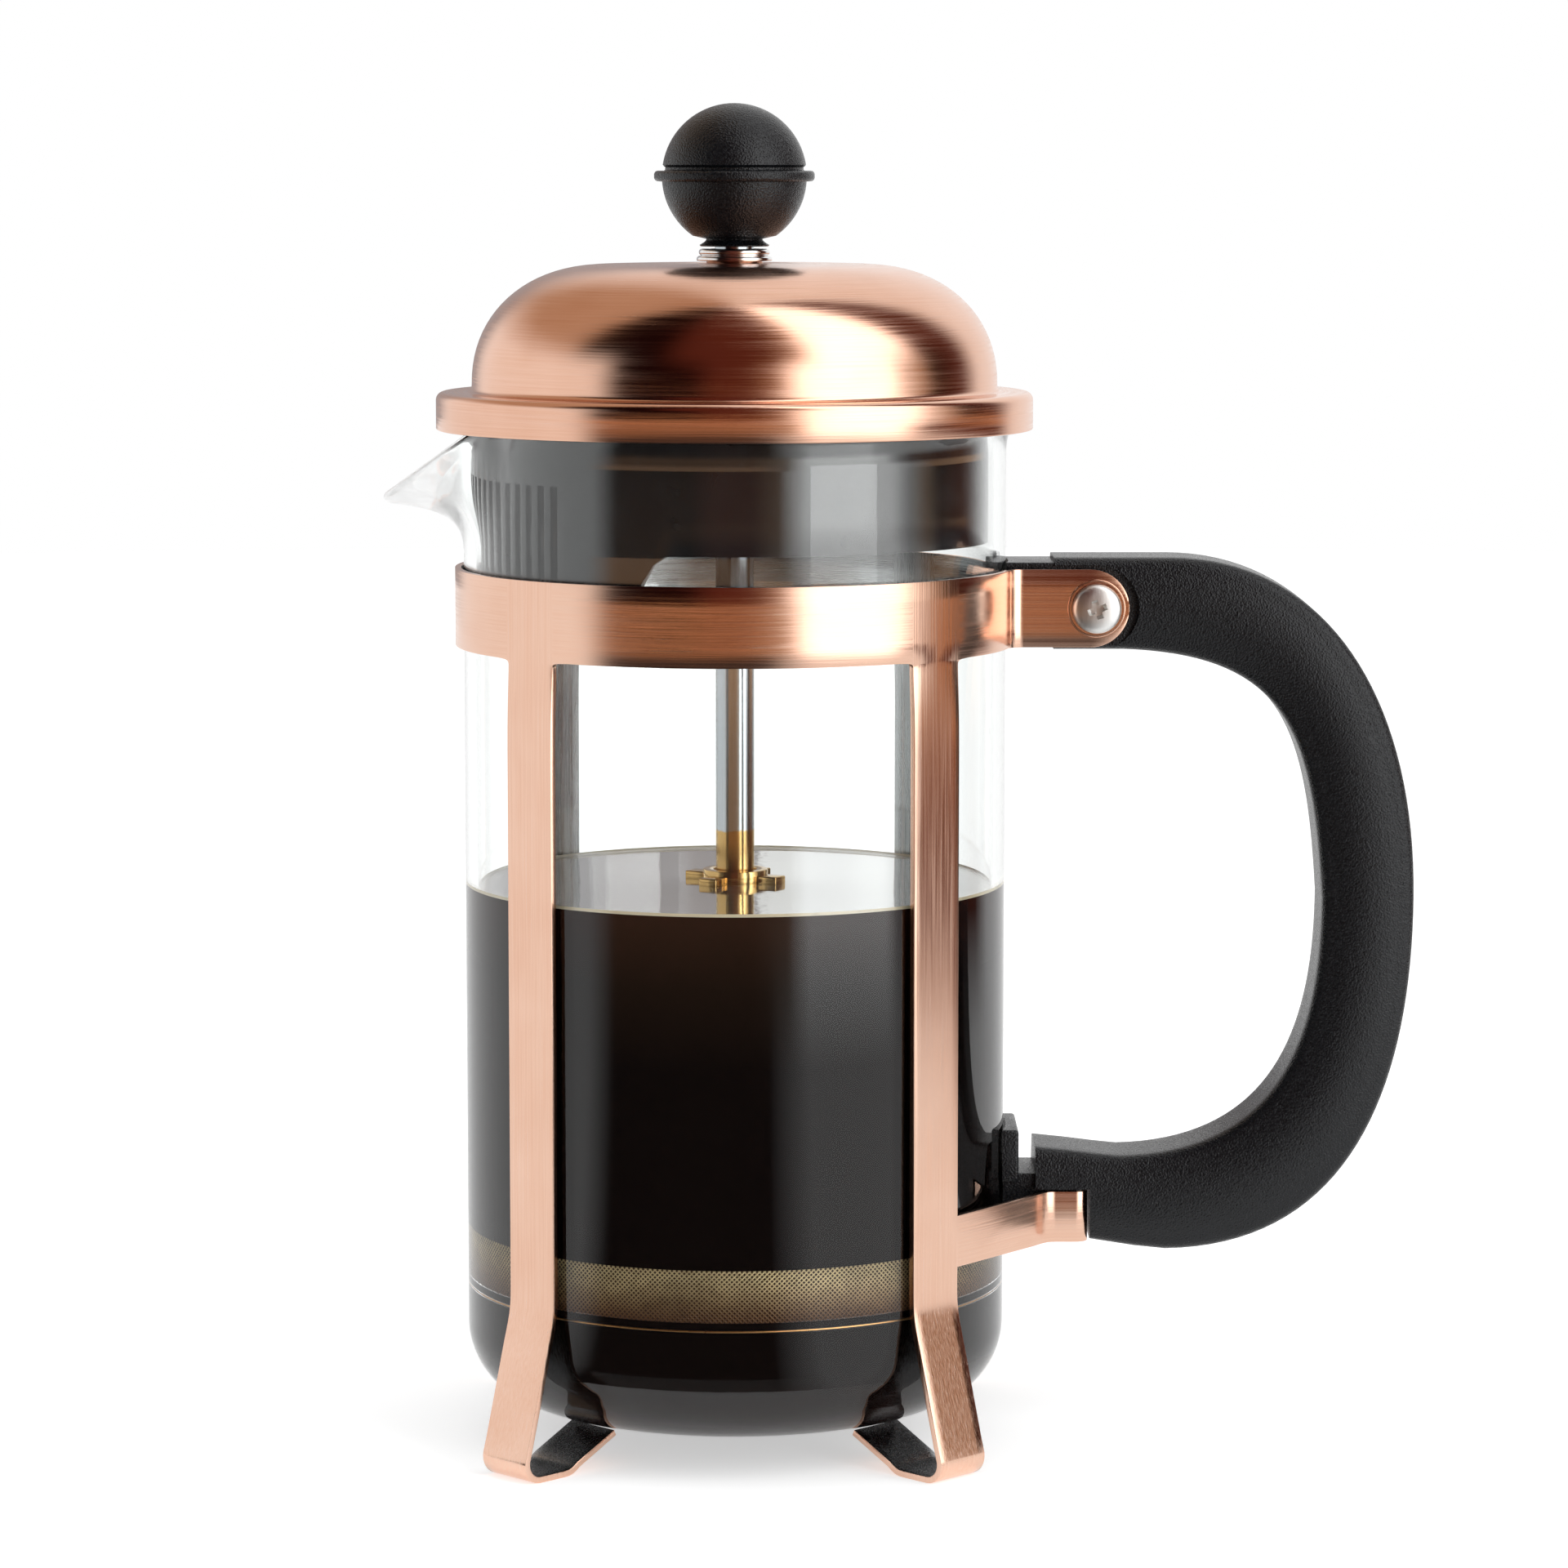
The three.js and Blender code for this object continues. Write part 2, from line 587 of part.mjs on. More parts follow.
/** Black splash guard: flange on the glass rim, skirt inside it, slots towards the spout. */
function lidLiner() {
  const flangeTop = LINER_FLANGE_Z + LINER_FLANGE_T;
  const inner = LINER_R - LINER_T;
  const bore = BUSHING_R + FIT;
  const underDome = DOME_TOP_Z - 0.1 - LID_T - FIT;
  let body = turnedRing(
    [
      [bore, LINER_FLANGE_Z],
      [inner, LINER_FLANGE_Z],
      [inner, LINER_LONG_Z],
      [LINER_R, LINER_LONG_Z],
      [LINER_R, LINER_FLANGE_Z],
      [LINER_FLANGE_R, LINER_FLANGE_Z],
      [LINER_FLANGE_R, flangeTop],
      [bore + 2.2, flangeTop],
      [bore + 2.2, underDome],
      [bore, underDome],
    ],
    60,
  );
  const drop = block([-60, -60, LINER_LONG_Z - 1], [60, 60, LINER_SHORT_Z]);
  body = body.subtract(drop.subtract(wedge(LINER_LONG_ANGLE, LINER_LONG_Z - 2, LINER_SHORT_Z + 1)));
  for (let i = 0; i < SLOT_COUNT; i += 1) {
    const angle = Math.PI + SLOT_SPAN * (i / (SLOT_COUNT - 1) - 0.5);
    const slot = new THREE.BoxGeometry(6, SLOT_W, SLOT_TOP_Z - SLOT_LOW_Z);
    slot.translate(LINER_R - 1, 0, (SLOT_TOP_Z + SLOT_LOW_Z) / 2);
    body = body.subtract(solid(spun(slot, angle)));
  }
  return body;
}

/** Flanged guide bushing through the top of the dome and the liner. */
function lidBushing() {
  const seat = DOME_TOP_Z + FIT;
  const bottom = LINER_FLANGE_Z - FIT - LID_NUT_H - 0.6;
  return turnedRing(
    [
      [ROD_R + RUN, bottom],
      [BUSHING_R, bottom],
      [BUSHING_R, seat],
      [BUSHING_FLANGE_R, seat],
      [BUSHING_FLANGE_R, seat + 0.6],
      [BUSHING_BEAD_R - 0.4, seat + 0.7],
      [BUSHING_BEAD_R, seat + 1],
      [BUSHING_BEAD_R, seat + 1.25],
      [BUSHING_BEAD_R - 0.35, BUSHING_TOP_Z],
      [ROD_R + RUN, BUSHING_TOP_Z],
    ],
    28,
  );
}

/** Hexagonal nut under the liner. */
function lidNut() {
  const top = LINER_FLANGE_Z - FIT;
  const body = prism(hexagon(LID_NUT_AF, 0.2), top - LID_NUT_H, top);
  return body.subtract(rod(BUSHING_R + FIT, 0, 160, 24));
}

// ================================================================ plunger
/** Points on the knob's ball between two heights, by height. */
function ball(fromZ, toZ, steps) {
  return Array.from({ length: steps + 1 }, (_, i) => {
    const z = fromZ + ((toZ - fromZ) * i) / steps;
    return [Math.sqrt(Math.max(KNOB_R ** 2 - (z - KNOB_MID_Z) ** 2, 0)), z];
  });
}

/** Top of the knob's lower half. */
const KNOB_SPLIT_Z = KNOB_FLANGE_Z + KNOB_FLANGE_T;

/** Lower half of the knob, with the neck, the seam flange and the pocket for its nut. */
function knobLower() {
  const foot = BUSHING_TOP_Z + FIT;
  const pocket = KNOB_NUT_AF / Math.sqrt(3) + FIT;
  const pocketZ = KNOB_SPLIT_Z - KNOB_NUT_H + 0.2;
  return turnedRing(
    [
      [ROD_R + FIT, foot],
      [KNOB_FOOT_R, foot],
      [KNOB_NECK_R + 0.1, foot + 0.75],
      ...ball(foot + 1.2, KNOB_FLANGE_Z, 5),
      [KNOB_FLANGE_R - 0.2, KNOB_FLANGE_Z],
      [KNOB_FLANGE_R, KNOB_FLANGE_Z + KNOB_FLANGE_T / 2],
      [KNOB_FLANGE_R - 0.2, KNOB_SPLIT_Z],
      [pocket, KNOB_SPLIT_Z],
      [pocket, pocketZ],
      [ROD_R + FIT, pocketZ],
    ],
    30,
  );
}

/** Upper half of the knob, hollowed over the end of the rod. */
function knobUpper() {
  const low = KNOB_SPLIT_Z + KNOB_SEAM;
  const pocket = KNOB_NUT_AF / Math.sqrt(3) + FIT;
  const sweep = Math.asin((low + 0.6 - KNOB_MID_Z) / KNOB_R);
  const crown = arc(0, KNOB_MID_Z, KNOB_R, sweep, Math.PI / 2, 6);
  crown[crown.length - 1][0] = 0;
  return turned(
    [
      [0, low + 3.2],
      [pocket, low + 2.4],
      [pocket, low],
      [KNOB_R - 0.5, low],
      [KNOB_R - 0.5, low + 0.35],
      ...crown,
    ],
    30,
  );
}

/** Nut in the knob that holds it on the rod. */
function knobNut() {
  const low = KNOB_SPLIT_Z - KNOB_NUT_H + 0.5;
  const body = prism(hexagon(KNOB_NUT_AF), low, low + KNOB_NUT_H);
  return body.subtract(rod(ROD_R + FIT, 0, 200, 20));
}

/** Straight pressing rod from the filter nut to the knob. */
function plungerRod() {
  const low = CROSS_Z - FIT - FILTER_NUT_H - 0.6;
  const high = KNOB_SPLIT_Z + KNOB_SEAM + 1.9;
  return turned(
    [[0, low], [ROD_R - 0.4, low], [ROD_R, low + 0.4], [ROD_R, high - 0.4], [ROD_R - 0.4, high], [0, high]],
    28,
  );
}

/** Clamped collar with four lugs that limits the upward stroke. */
function stopCollar() {
  let body = rod(COLLAR_R, COLLAR_Z, COLLAR_Z + COLLAR_H, 28);
  for (let i = 0; i < 4; i += 1) {
    const g = new THREE.BoxGeometry(LUG_R, LUG_W, LUG_T);
    g.translate(LUG_R / 2, 0, COLLAR_Z + LUG_T / 2 + 0.3);
    body = body.add(solid(spun(g, LUG_TURN + (i * Math.PI) / 2)));
  }
  return body.subtract(rod(ROD_R + FIT, 0, 200, 24));
}

// ================================================================ filter
const MESH_Z = CROSS_Z + CROSS_T + FIT;
const PLATE_Z = MESH_Z + MESH_T + FIT;
const SPRING_R = MESH_R - MESH_T - FIT - SPRING_WIRE_R;
const PLATE_R = SPRING_R - SPRING_WIRE_R - FIT;

/** Hub on top of the plates that the rod screws into. */
function filterHub() {
  const low = PLATE_Z + PLATE_T + FIT;
  return turnedRing(
    [
      [ROD_R + FIT, low],
      [HUB_R + 2, low],
      [HUB_R + 2, low + 1.2],
      [HUB_R, low + 1.8],
      [HUB_R, low + HUB_H - 0.6],
      [HUB_R - 0.6, low + HUB_H],
      [ROD_R + FIT, low + HUB_H],
    ],
    28,
  );
}

/** Plate of slotted rings above the mesh. */
function spiralPlate() {
  let body = tube(ROD_R + FIT, PLATE_R, PLATE_Z, PLATE_Z + PLATE_T, 40);
  const rows = [[PLATE_R - 15.9, 4, 5], [PLATE_R - 6.9, 6, 5]];
  for (const [radius, count, width] of rows) {
    const swing = (2 * Math.PI) / count;
    for (let i = 0; i < count; i += 1) {
      const from = i * swing + radius * 0.06;
      const inner = arc(0, 0, radius - width / 2, from, from + swing * 0.72, 3);
      const outer = arc(0, 0, radius + width / 2, from + swing * 0.72, from, 3);
      body = body.subtract(prism([...inner, ...outer], PLATE_Z - 1, PLATE_Z + PLATE_T + 1));
    }
  }
  return body;
}

/** Ring of coil spring round the plate. */
function filterSpring() {
  const g = new THREE.TorusGeometry(SPRING_R, SPRING_WIRE_R, 6, 40);
  g.translate(0, 0, MESH_Z + MESH_T + FIT + SPRING_WIRE_R);
  return solid(g);
}

/** Fine mesh disc with its edge turned up against the glass. */
function filterMesh() {
  const top = MESH_Z + MESH_LIP_H;
  return turnedRing(
    [
      [ROD_R + FIT, MESH_Z],
      [MESH_R - 0.8, MESH_Z],
      [MESH_R, MESH_Z + 0.8],
      [MESH_R, top],
      [MESH_R - MESH_T, top],
      [MESH_R - MESH_T, MESH_Z + MESH_T + 0.6],
      [MESH_R - MESH_T - 0.6, MESH_Z + MESH_T],
      [ROD_R + FIT, MESH_Z + MESH_T],
    ],
    48,
  );
}

/** Lower plate with large windows between its arms. */
function crossPlate() {
  let body = tube(ROD_R + FIT, CROSS_R, CROSS_Z, CROSS_Z + CROSS_T, 40);
  const count = 4;
  for (let i = 0; i < count; i += 1) {
    const mid = (i * 2 * Math.PI) / count;
    const inner = arc(0, 0, 9, mid - 0.42, mid + 0.42, 3);
    const outer = arc(0, 0, CROSS_R - 4, mid + 0.66, mid - 0.66, 6);
    body = body.subtract(prism([...inner, ...outer], CROSS_Z - 1, CROSS_Z + CROSS_T + 1));
  }
  return body;
}

/** Nut under the cross plate. */
function filterNut() {
  const top = CROSS_Z - FIT;
  const body = prism(hexagon(LID_NUT_AF), top - FILTER_NUT_H, top);
  return body.subtract(rod(ROD_R + FIT, 0, 60, 20));
}

// ================================================================ assembly
const COPPER = { color: 0xc98f78, roughness: 0.3, metalness: 1 };
const BLACK = { color: 0x101010, roughness: 0.5, metalness: 0 };
const STEEL = { color: 0xb8b8b6, roughness: 0.28, metalness: 1 };
const CHROME = { color: 0xd8d8d8, roughness: 0.12, metalness: 1 };
const GLASS = { color: 0xf4f8f7, roughness: 0.04, metalness: 0 };

const PIECES = [
  ['frame_band', frameBand, COPPER],
  ['leg_front_left', () => leg(-0.75 * Math.PI), COPPER],
  ['leg_front_right', () => leg(-0.25 * Math.PI), COPPER],
  ['leg_rear_left', () => leg(0.75 * Math.PI), COPPER],
  ['leg_rear_right', () => leg(0.25 * Math.PI), COPPER],
  ['handle_brace', handleBrace, COPPER],
  ['handle', handle, BLACK],
  ['handle_screw', handleScrew, CHROME],
  ['handle_nut', handleNut, CHROME],
  ['glass_beaker', glassBeaker, GLASS],
  ['lid_dome', lidDome, COPPER],
  ['lid_liner', lidLiner, BLACK],
  ['lid_bushing', lidBushing, CHROME],
  ['lid_nut', lidNut, STEEL],
  ['plunger_rod', plungerRod, STEEL],
  ['knob_lower', knobLower, BLACK],
  ['knob_upper', knobUpper, BLACK],
  ['knob_nut', knobNut, STEEL],
  ['stop_collar', stopCollar, STEEL],
  ['filter_hub', filterHub, STEEL],
  ['filter_spiral_plate', spiralPlate, STEEL],
  ['filter_spring', filterSpring, STEEL],
  ['filter_mesh', filterMesh, STEEL],
  ['filter_cross_plate', crossPlate, STEEL],
  ['filter_nut', filterNut, STEEL],
];

const press = new THREE.Group();
press.name = 'french_press';
for (const [name, make, finish] of PIECES) {
  const g = geometryOf(make());
  g.translate((SPOUT_REACH - HANDLE_REACH) / 2, 0, 0);
  const mesh = new THREE.Mesh(g, new THREE.MeshStandardMaterial(finish));
  mesh.name = name;
  press.add(mesh);
}

export default press;
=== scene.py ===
"""Looks of a small french press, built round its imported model.

Every sub-assembly is a class that keeps its own sizes, makes its meshes with bmesh operators and dresses
them with its finishes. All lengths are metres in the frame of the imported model.
"""

import logging
import math
from dataclasses import dataclass
from enum import Enum
from typing import Sequence

import bmesh
import bpy
from mathutils import Matrix, Vector
from mathutils.geometry import interpolate_bezier

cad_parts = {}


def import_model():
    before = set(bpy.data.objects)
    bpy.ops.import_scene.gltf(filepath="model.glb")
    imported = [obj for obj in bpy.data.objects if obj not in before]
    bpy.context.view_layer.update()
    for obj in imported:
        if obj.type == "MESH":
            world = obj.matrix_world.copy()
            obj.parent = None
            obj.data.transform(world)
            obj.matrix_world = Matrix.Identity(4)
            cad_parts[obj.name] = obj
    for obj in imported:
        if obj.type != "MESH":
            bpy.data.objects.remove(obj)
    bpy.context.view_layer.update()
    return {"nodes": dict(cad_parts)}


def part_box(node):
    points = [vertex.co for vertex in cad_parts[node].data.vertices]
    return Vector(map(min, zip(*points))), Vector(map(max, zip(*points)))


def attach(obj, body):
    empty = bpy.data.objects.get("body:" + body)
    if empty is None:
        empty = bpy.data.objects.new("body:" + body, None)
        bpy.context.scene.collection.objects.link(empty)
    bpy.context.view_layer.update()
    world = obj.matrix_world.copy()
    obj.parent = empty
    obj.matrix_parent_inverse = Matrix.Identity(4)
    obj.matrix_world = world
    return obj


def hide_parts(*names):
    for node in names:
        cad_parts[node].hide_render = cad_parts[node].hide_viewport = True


LOG = logging.getLogger("french_press")
MM = 0.001
# Corners closer than this are one, in metres.
SAME = 1e-6
# Edges of a thickened sheet that turn by more than this are rounded, in radians.
RIM_ANGLE = 0.9
Point = tuple[float, float]
Colour = tuple[float, float, float]


# ---------------------------------------------------------------- meshes


def mm(x: float, z: float) -> Point:
    """A point given in millimetres."""
    return x * MM, z * MM


def corners(edges: Sequence[bmesh.types.BMEdge]) -> list[bmesh.types.BMVert]:
    """Corners of some edges, each once and in order."""
    return list(dict.fromkeys(v for e in edges for v in e.verts))


def edges_of(geom: Sequence) -> list[bmesh.types.BMEdge]:
    """The edges in what an operator gives back."""
    return [g for g in geom if isinstance(g, bmesh.types.BMEdge)]


def as_mesh(name: str, bm: bmesh.types.BMesh) -> bpy.types.Mesh:
    """Keep a bmesh as mesh data and free it."""
    mesh = bpy.data.meshes.new(name)
    bm.to_mesh(mesh)
    bm.free()
    return mesh


def in_scene(name: str, data: bpy.types.ID) -> bpy.types.Object:
    """Make an object of some data and put it in the scene."""
    obj = bpy.data.objects.new(name, data)
    bpy.context.scene.collection.objects.link(obj)
    return obj


def chain(points: Sequence[Vector]) -> bmesh.types.BMesh:
    """Start a mesh as an open line of edges.

    Args:
        points: the corners of the line, in order.

    Returns:
        A bmesh that holds only that line.
    """
    bm = bmesh.new()
    verts = [bm.verts.new(p) for p in points]
    for a, b in zip(verts, verts[1:]):
        bm.edges.new((a, b))
    return bm


def tidy(bm: bmesh.types.BMesh) -> None:
    """Merge doubled corners and turn every face outwards."""
    bmesh.ops.remove_doubles(bm, verts=bm.verts, dist=SAME)
    bmesh.ops.dissolve_degenerate(bm, edges=bm.edges, dist=SAME)
    bmesh.ops.recalc_face_normals(bm, faces=bm.faces)


def soften(bm: bmesh.types.BMesh, width: float, segments: int = 2, over: float = 0.6) -> None:
    """Round the sharp edges of a closed mesh.

    Args:
        bm: the mesh.
        width: the width of the rounding.
        segments: faces across the rounding.
        over: the least angle between faces that counts as sharp, in radians.
    """
    edges = [e for e in bm.edges if e.is_manifold and e.calc_face_angle(0.0) > over]
    bmesh.ops.bevel(
        bm,
        geom=edges,
        offset=width,
        offset_type="OFFSET",
        segments=segments,
        profile=0.5,
        affect="EDGES",
        clamp_overlap=True,
        material=-1,
    )


def swing(
    bm: bmesh.types.BMesh, geom: Sequence, axis_x: float, angle: float, steps: int, closed: bool = False
) -> list[bmesh.types.BMEdge]:
    """Sweep corners and edges about the upright line through axis_x.

    Args:
        bm: the mesh.
        geom: the corners and edges.
        axis_x: where the upright line stands.
        angle: how far, in radians.
        steps: columns of faces.
        closed: whether the last column joins the first one.

    Returns:
        The edges at the end of the sweep.
    """
    done = bmesh.ops.spin(
        bm,
        geom=geom,
        cent=(axis_x, 0.0, 0.0),
        axis=(0.0, 0.0, 1.0),
        dvec=(0.0, 0.0, 0.0),
        angle=angle,
        space=Matrix.Identity(4),
        steps=steps,
        use_merge=closed,
        use_normal_flip=False,
        use_duplicate=False,
    )
    return edges_of(done["geom_last"])


def turned_sheet(line: Sequence[Point], axis_x: float, steps: int) -> bmesh.types.BMesh:
    """Turn a line about the upright line through axis_x.

    Args:
        line: radius and height pairs.
        axis_x: where the upright line stands.
        steps: faces round the turn.

    Returns:
        The sheet, without thickness.
    """
    bm = chain([Vector((axis_x + r, 0.0, z)) for r, z in line])
    swing(bm, bm.verts[:] + bm.edges[:], axis_x, math.tau, steps, closed=True)
    tidy(bm)
    return bm


def turned(profile: Sequence[Point], axis_x: float, steps: int = 96, rounding: float = 0.0) -> bmesh.types.BMesh:
    """Turn a solid from its profile.

    Args:
        profile: radius and height pairs. A profile off the axis closes on itself.
        axis_x: where the upright line stands.
        steps: faces round the turn.
        rounding: width of the rounding on sharp edges, or 0 for none.

    Returns:
        The closed mesh.
    """
    points = list(profile)
    if points[0][0] > SAME:
        points.append(points[0])
    bm = turned_sheet(points, axis_x, steps)
    if rounding:
        soften(bm, rounding)
    return bm


def slab(low: Sequence[float], high: Sequence[float], rounding: float = 0.0) -> bmesh.types.BMesh:
    """Make a box between two corners, its edges rounded on request.

    Args:
        low: the lowest corner.
        high: the highest corner.
        rounding: width of the rounding, or 0 for none.

    Returns:
        The closed mesh.
    """
    bm = bmesh.new()
    size = [b - a for a, b in zip(low, high)]
    middle = Vector([(a + b) / 2 for a, b in zip(low, high)])
    bmesh.ops.create_cube(bm, size=1.0, matrix=Matrix.Translation(middle) @ Matrix.Diagonal((*size, 1.0)))
    if rounding:
        soften(bm, rounding, 3)
    return bm


def absorb(bm: bmesh.types.BMesh, *others: bmesh.types.BMesh) -> bmesh.types.BMesh:
    """Add other meshes to the first one and free them.

    Args:
        bm: the mesh that grows.
        others: the meshes that go into it.

    Returns:
        The grown mesh.
    """
    for other in others:
        mesh = as_mesh("part", other)
        bm.from_mesh(mesh)
        bpy.data.meshes.remove(mesh)
    return bm


def bezier(a: Point, b: Point, c: Point, d: Point, steps: int) -> list[Point]:
    """Points on a cubic curve after its first one.

    Args:
        a: start of the curve.
        b: first control point.
        c: second control point.
        d: end of the curve.
        steps: how many points to give.

    Returns:
        The points in order.
    """
    ends = [Vector((*p, 0.0)) for p in (a, b, c, d)]
    return [(p.x, p.y) for p in interpolate_bezier(*ends, steps + 1)[1:]]


def arc(centre: Point, radius: float, start: float, end: float, steps: int) -> list[Point]:
    """Points on an arc, both ends included.

    Args:
        centre: centre of the arc.
        radius: its radius.
        start: first angle, in radians.
        end: last angle, in radians.
        steps: stretches between the points.

    Returns:
        The points in order.
    """
    turn = (end - start) / steps
    angles = [start + turn * i for i in range(steps + 1)]
    return [(centre[0] + radius * math.cos(a), centre[1] + radius * math.sin(a)) for a in angles]


class Cut(Enum):
    """What a second solid does to the first."""

    ADD = "UNION"
    REMOVE = "DIFFERENCE"


def combine(bm: bmesh.types.BMesh, tool: bmesh.types.BMesh, how: Cut) -> bmesh.types.BMesh:
    """Add a solid to another or cut it away.

    Args:
        bm: the solid that is worked on. It is freed.
        tool: the solid that is added or cut away. It is freed.
        how: which of the two.

    Returns:
        The new solid.
    """
    work, cutter = (in_scene(name, as_mesh(name, source)) for name, source in (("work", bm), ("tool", tool)))
    step = work.modifiers.new("join", "BOOLEAN")
    step.operation = how.value
    step.solver = "EXACT"
    step.object = cutter
    graph = bpy.context.evaluated_depsgraph_get()
    result = bmesh.new()
    result.from_mesh(work.evaluated_get(graph).to_mesh())
    for obj in (work, cutter):
        mesh = obj.data
        bpy.data.objects.remove(obj)
        bpy.data.meshes.remove(mesh)
    return result


def shown(
    name: str,
    bm: bmesh.types.BMesh,
    material: bpy.types.Material,
    body: str,
    replaces: Sequence[str] = (),
    sharp: float = 0.7,
    wall: float = 0.0,
    wall_side: float = -1.0,
    rim: float = 0.0,
    inside: bpy.types.Material | None = None,
) -> bpy.types.Object:
    """Make a finished mesh into a piece that rides on a body.

    Args:
        name: the piece's name.
        bm: its mesh, which is freed.
        material: its finish.
        body: the body that it rides on.
        replaces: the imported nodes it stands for.
        sharp: faces that meet at more than this angle keep a crisp edge, in radians.
        wall: thickness given to a sheet, or 0 for a mesh that is closed already.
        wall_side: -1 thickens inwards, 0 both ways and 1 outwards.
        rim: rounding on the edges of a thickened sheet.
        inside: finish of the sheet's inner face, where it has its own.

    Returns:
        The piece.
    """
    mesh = as_mesh(name, bm)
    for finish in (material, inside):
        if finish:
            mesh.materials.append(finish)
    obj = in_scene(name, mesh)
    if wall:
        thick = obj.modifiers.new("wall", "SOLIDIFY")
        thick.thickness = wall
        thick.offset = wall_side
        thick.use_even_offset = True
        thick.use_quality_normals = True
        thick.material_offset = 1 if inside else 0
        if rim:
            edge = obj.modifiers.new("rim", "BEVEL")
            edge.width = rim
            edge.segments = 2
            edge.limit_method = "ANGLE"
            edge.angle_limit = RIM_ANGLE
        graph = bpy.context.evaluated_depsgraph_get()
        thickened = bpy.data.meshes.new_from_object(obj.evaluated_get(graph))
        obj.modifiers.clear()
        obj.data = thickened
        bpy.data.meshes.remove(mesh)
        mesh = thickened
    mesh.name = name
    mesh.polygons.foreach_set("use_smooth", [True] * len(mesh.polygons))
    mesh.set_sharp_from_angle(angle=sharp)
    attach(obj, body)
    if replaces:
        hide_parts(*replaces)
    LOG.info("%s: %d faces on body %s", name, len(mesh.polygons), body)
    return obj


# ---------------------------------------------------------------- finishes


class Painter:
    """Builds the nodes of one material."""

    def __init__(self, name: str) -> None:
        """Start a material with an empty surface.

        Args:
            name: the material's name.
        """
        self.material = bpy.data.materials.new(name)
        self.material.use_nodes = True
        self.tree = self.material.node_tree
        self.tree.nodes.clear()
        self.surface = self.add("ShaderNodeBsdfPrincipled")
        self.end = self.add("ShaderNodeOutputMaterial")
        self.tree.links.new(self.surface.outputs["BSDF"], self.end.inputs["Surface"])

    def add(self, kind: str, **settings: object) -> bpy.types.Node:
        """Add a node.

        Args:
            kind: the node's type.
            settings: values of its own properties.

        Returns:
            The node.
        """
        node = self.tree.nodes.new(kind)
        for key, value in settings.items():
            setattr(node, key, value)
        return node

    def finish_with(self, shader: bpy.types.NodeSocket) -> None:
        """Show another shader in place of the surface."""
        self.feed(self.end.inputs["Surface"], shader)
        self.tree.nodes.remove(self.surface)

    def feed(self, socket: bpy.types.NodeSocket, value: object) -> None:
        """Give a socket a number, a colour or another node's output.

        Args:
            socket: the input.
            value: what it takes.
        """
        if isinstance(value, bpy.types.NodeSocket):
            self.tree.links.new(value, socket)
        else:
            socket.default_value = value

    def set(self, **values: object) -> None:
        """Set inputs of the surface, an underscore standing for a blank.

        Args:
            values: input names and what they take.
        """
        for key, value in values.items():
            self.feed(self.surface.inputs[key.replace("_", " ")], value)

    def sum(self, operation: str, *values: object) -> bpy.types.NodeSocket:
        """One step of arithmetic.

        Args:
            operation: the Math node's operation.
            values: its inputs in order.

        Returns:
            The result.
        """
        node = self.add("ShaderNodeMath", operation=operation)
        for socket, value in zip(node.inputs, values):
            self.feed(socket, value)
        return node.outputs[0]

    def times(self, first: object, second: object) -> bpy.types.NodeSocket:
        """Product of two numbers."""
        return self.sum("MULTIPLY", first, second)

    def radius(self, x: object, y: object) -> bpy.types.NodeSocket:
        """Distance from the upright line through zero."""
        return self.sum("SQRT", self.sum("ADD", self.times(x, x), self.times(y, y)))

    def vector(self, x: object, y: object, z: object) -> bpy.types.NodeSocket:
        """Put three numbers together as a vector."""
        node = self.add("ShaderNodeCombineXYZ")
        for socket, value in zip(node.inputs, (x, y, z)):
            self.feed(socket, value)
        return node.outputs[0]

    def place(self, centre: Vector) -> list[bpy.types.NodeSocket]:
        """The x, y and z of a point on the piece, measured from centre.

        Args:
            centre: the point that reads as zero.

        Returns:
            The three numbers.
        """
        where = self.add("ShaderNodeTexCoord")
        moved = self.add("ShaderNodeMapping")
        moved.inputs["Location"].default_value = -centre
        self.tree.links.new(where.outputs["Object"], moved.inputs["Vector"])
        parts = self.add("ShaderNodeSeparateXYZ")
        self.tree.links.new(moved.outputs["Vector"], parts.inputs[0])
        return list(parts.outputs)

    def noise(
        self,
        vector: bpy.types.NodeSocket,
        scale: float = 1.0,
        detail: float = 2.0,
        w: object = None,
    ) -> bpy.types.NodeSocket:
        """Cloudy noise from 0 to 1.

        Args:
            vector: where to read it.
            scale: how fine it is.
            detail: how many finer layers lie on it.
            w: a fourth coordinate, where one is wanted.

        Returns:
            The noise.
        """
        node = self.add("ShaderNodeTexNoise", noise_dimensions="3D" if w is None else "4D")
        self.feed(node.inputs["Vector"], vector)
        node.inputs["Scale"].default_value = scale
        node.inputs["Detail"].default_value = detail
        if w is not None:
            self.feed(node.inputs["W"], w)
        return node.outputs[0]

    def span(self, value: object, low: float, high: float, to_low: float, to_high: float) -> bpy.types.NodeSocket:
        """Stretch a range of numbers onto another one, held at its ends.

        Args:
            value: the number.
            low: value that becomes to_low.
            high: value that becomes to_high.
            to_low: result at low.
            to_high: result at high.

        Returns:
            The stretched number.
        """
        node = self.add("ShaderNodeMapRange")
        for key, item in (
            ("Value", value),
            ("From Min", low),
            ("From Max", high),
            ("To Min", to_low),
            ("To Max", to_high),
        ):
            self.feed(node.inputs[key], item)
        return node.outputs[0]

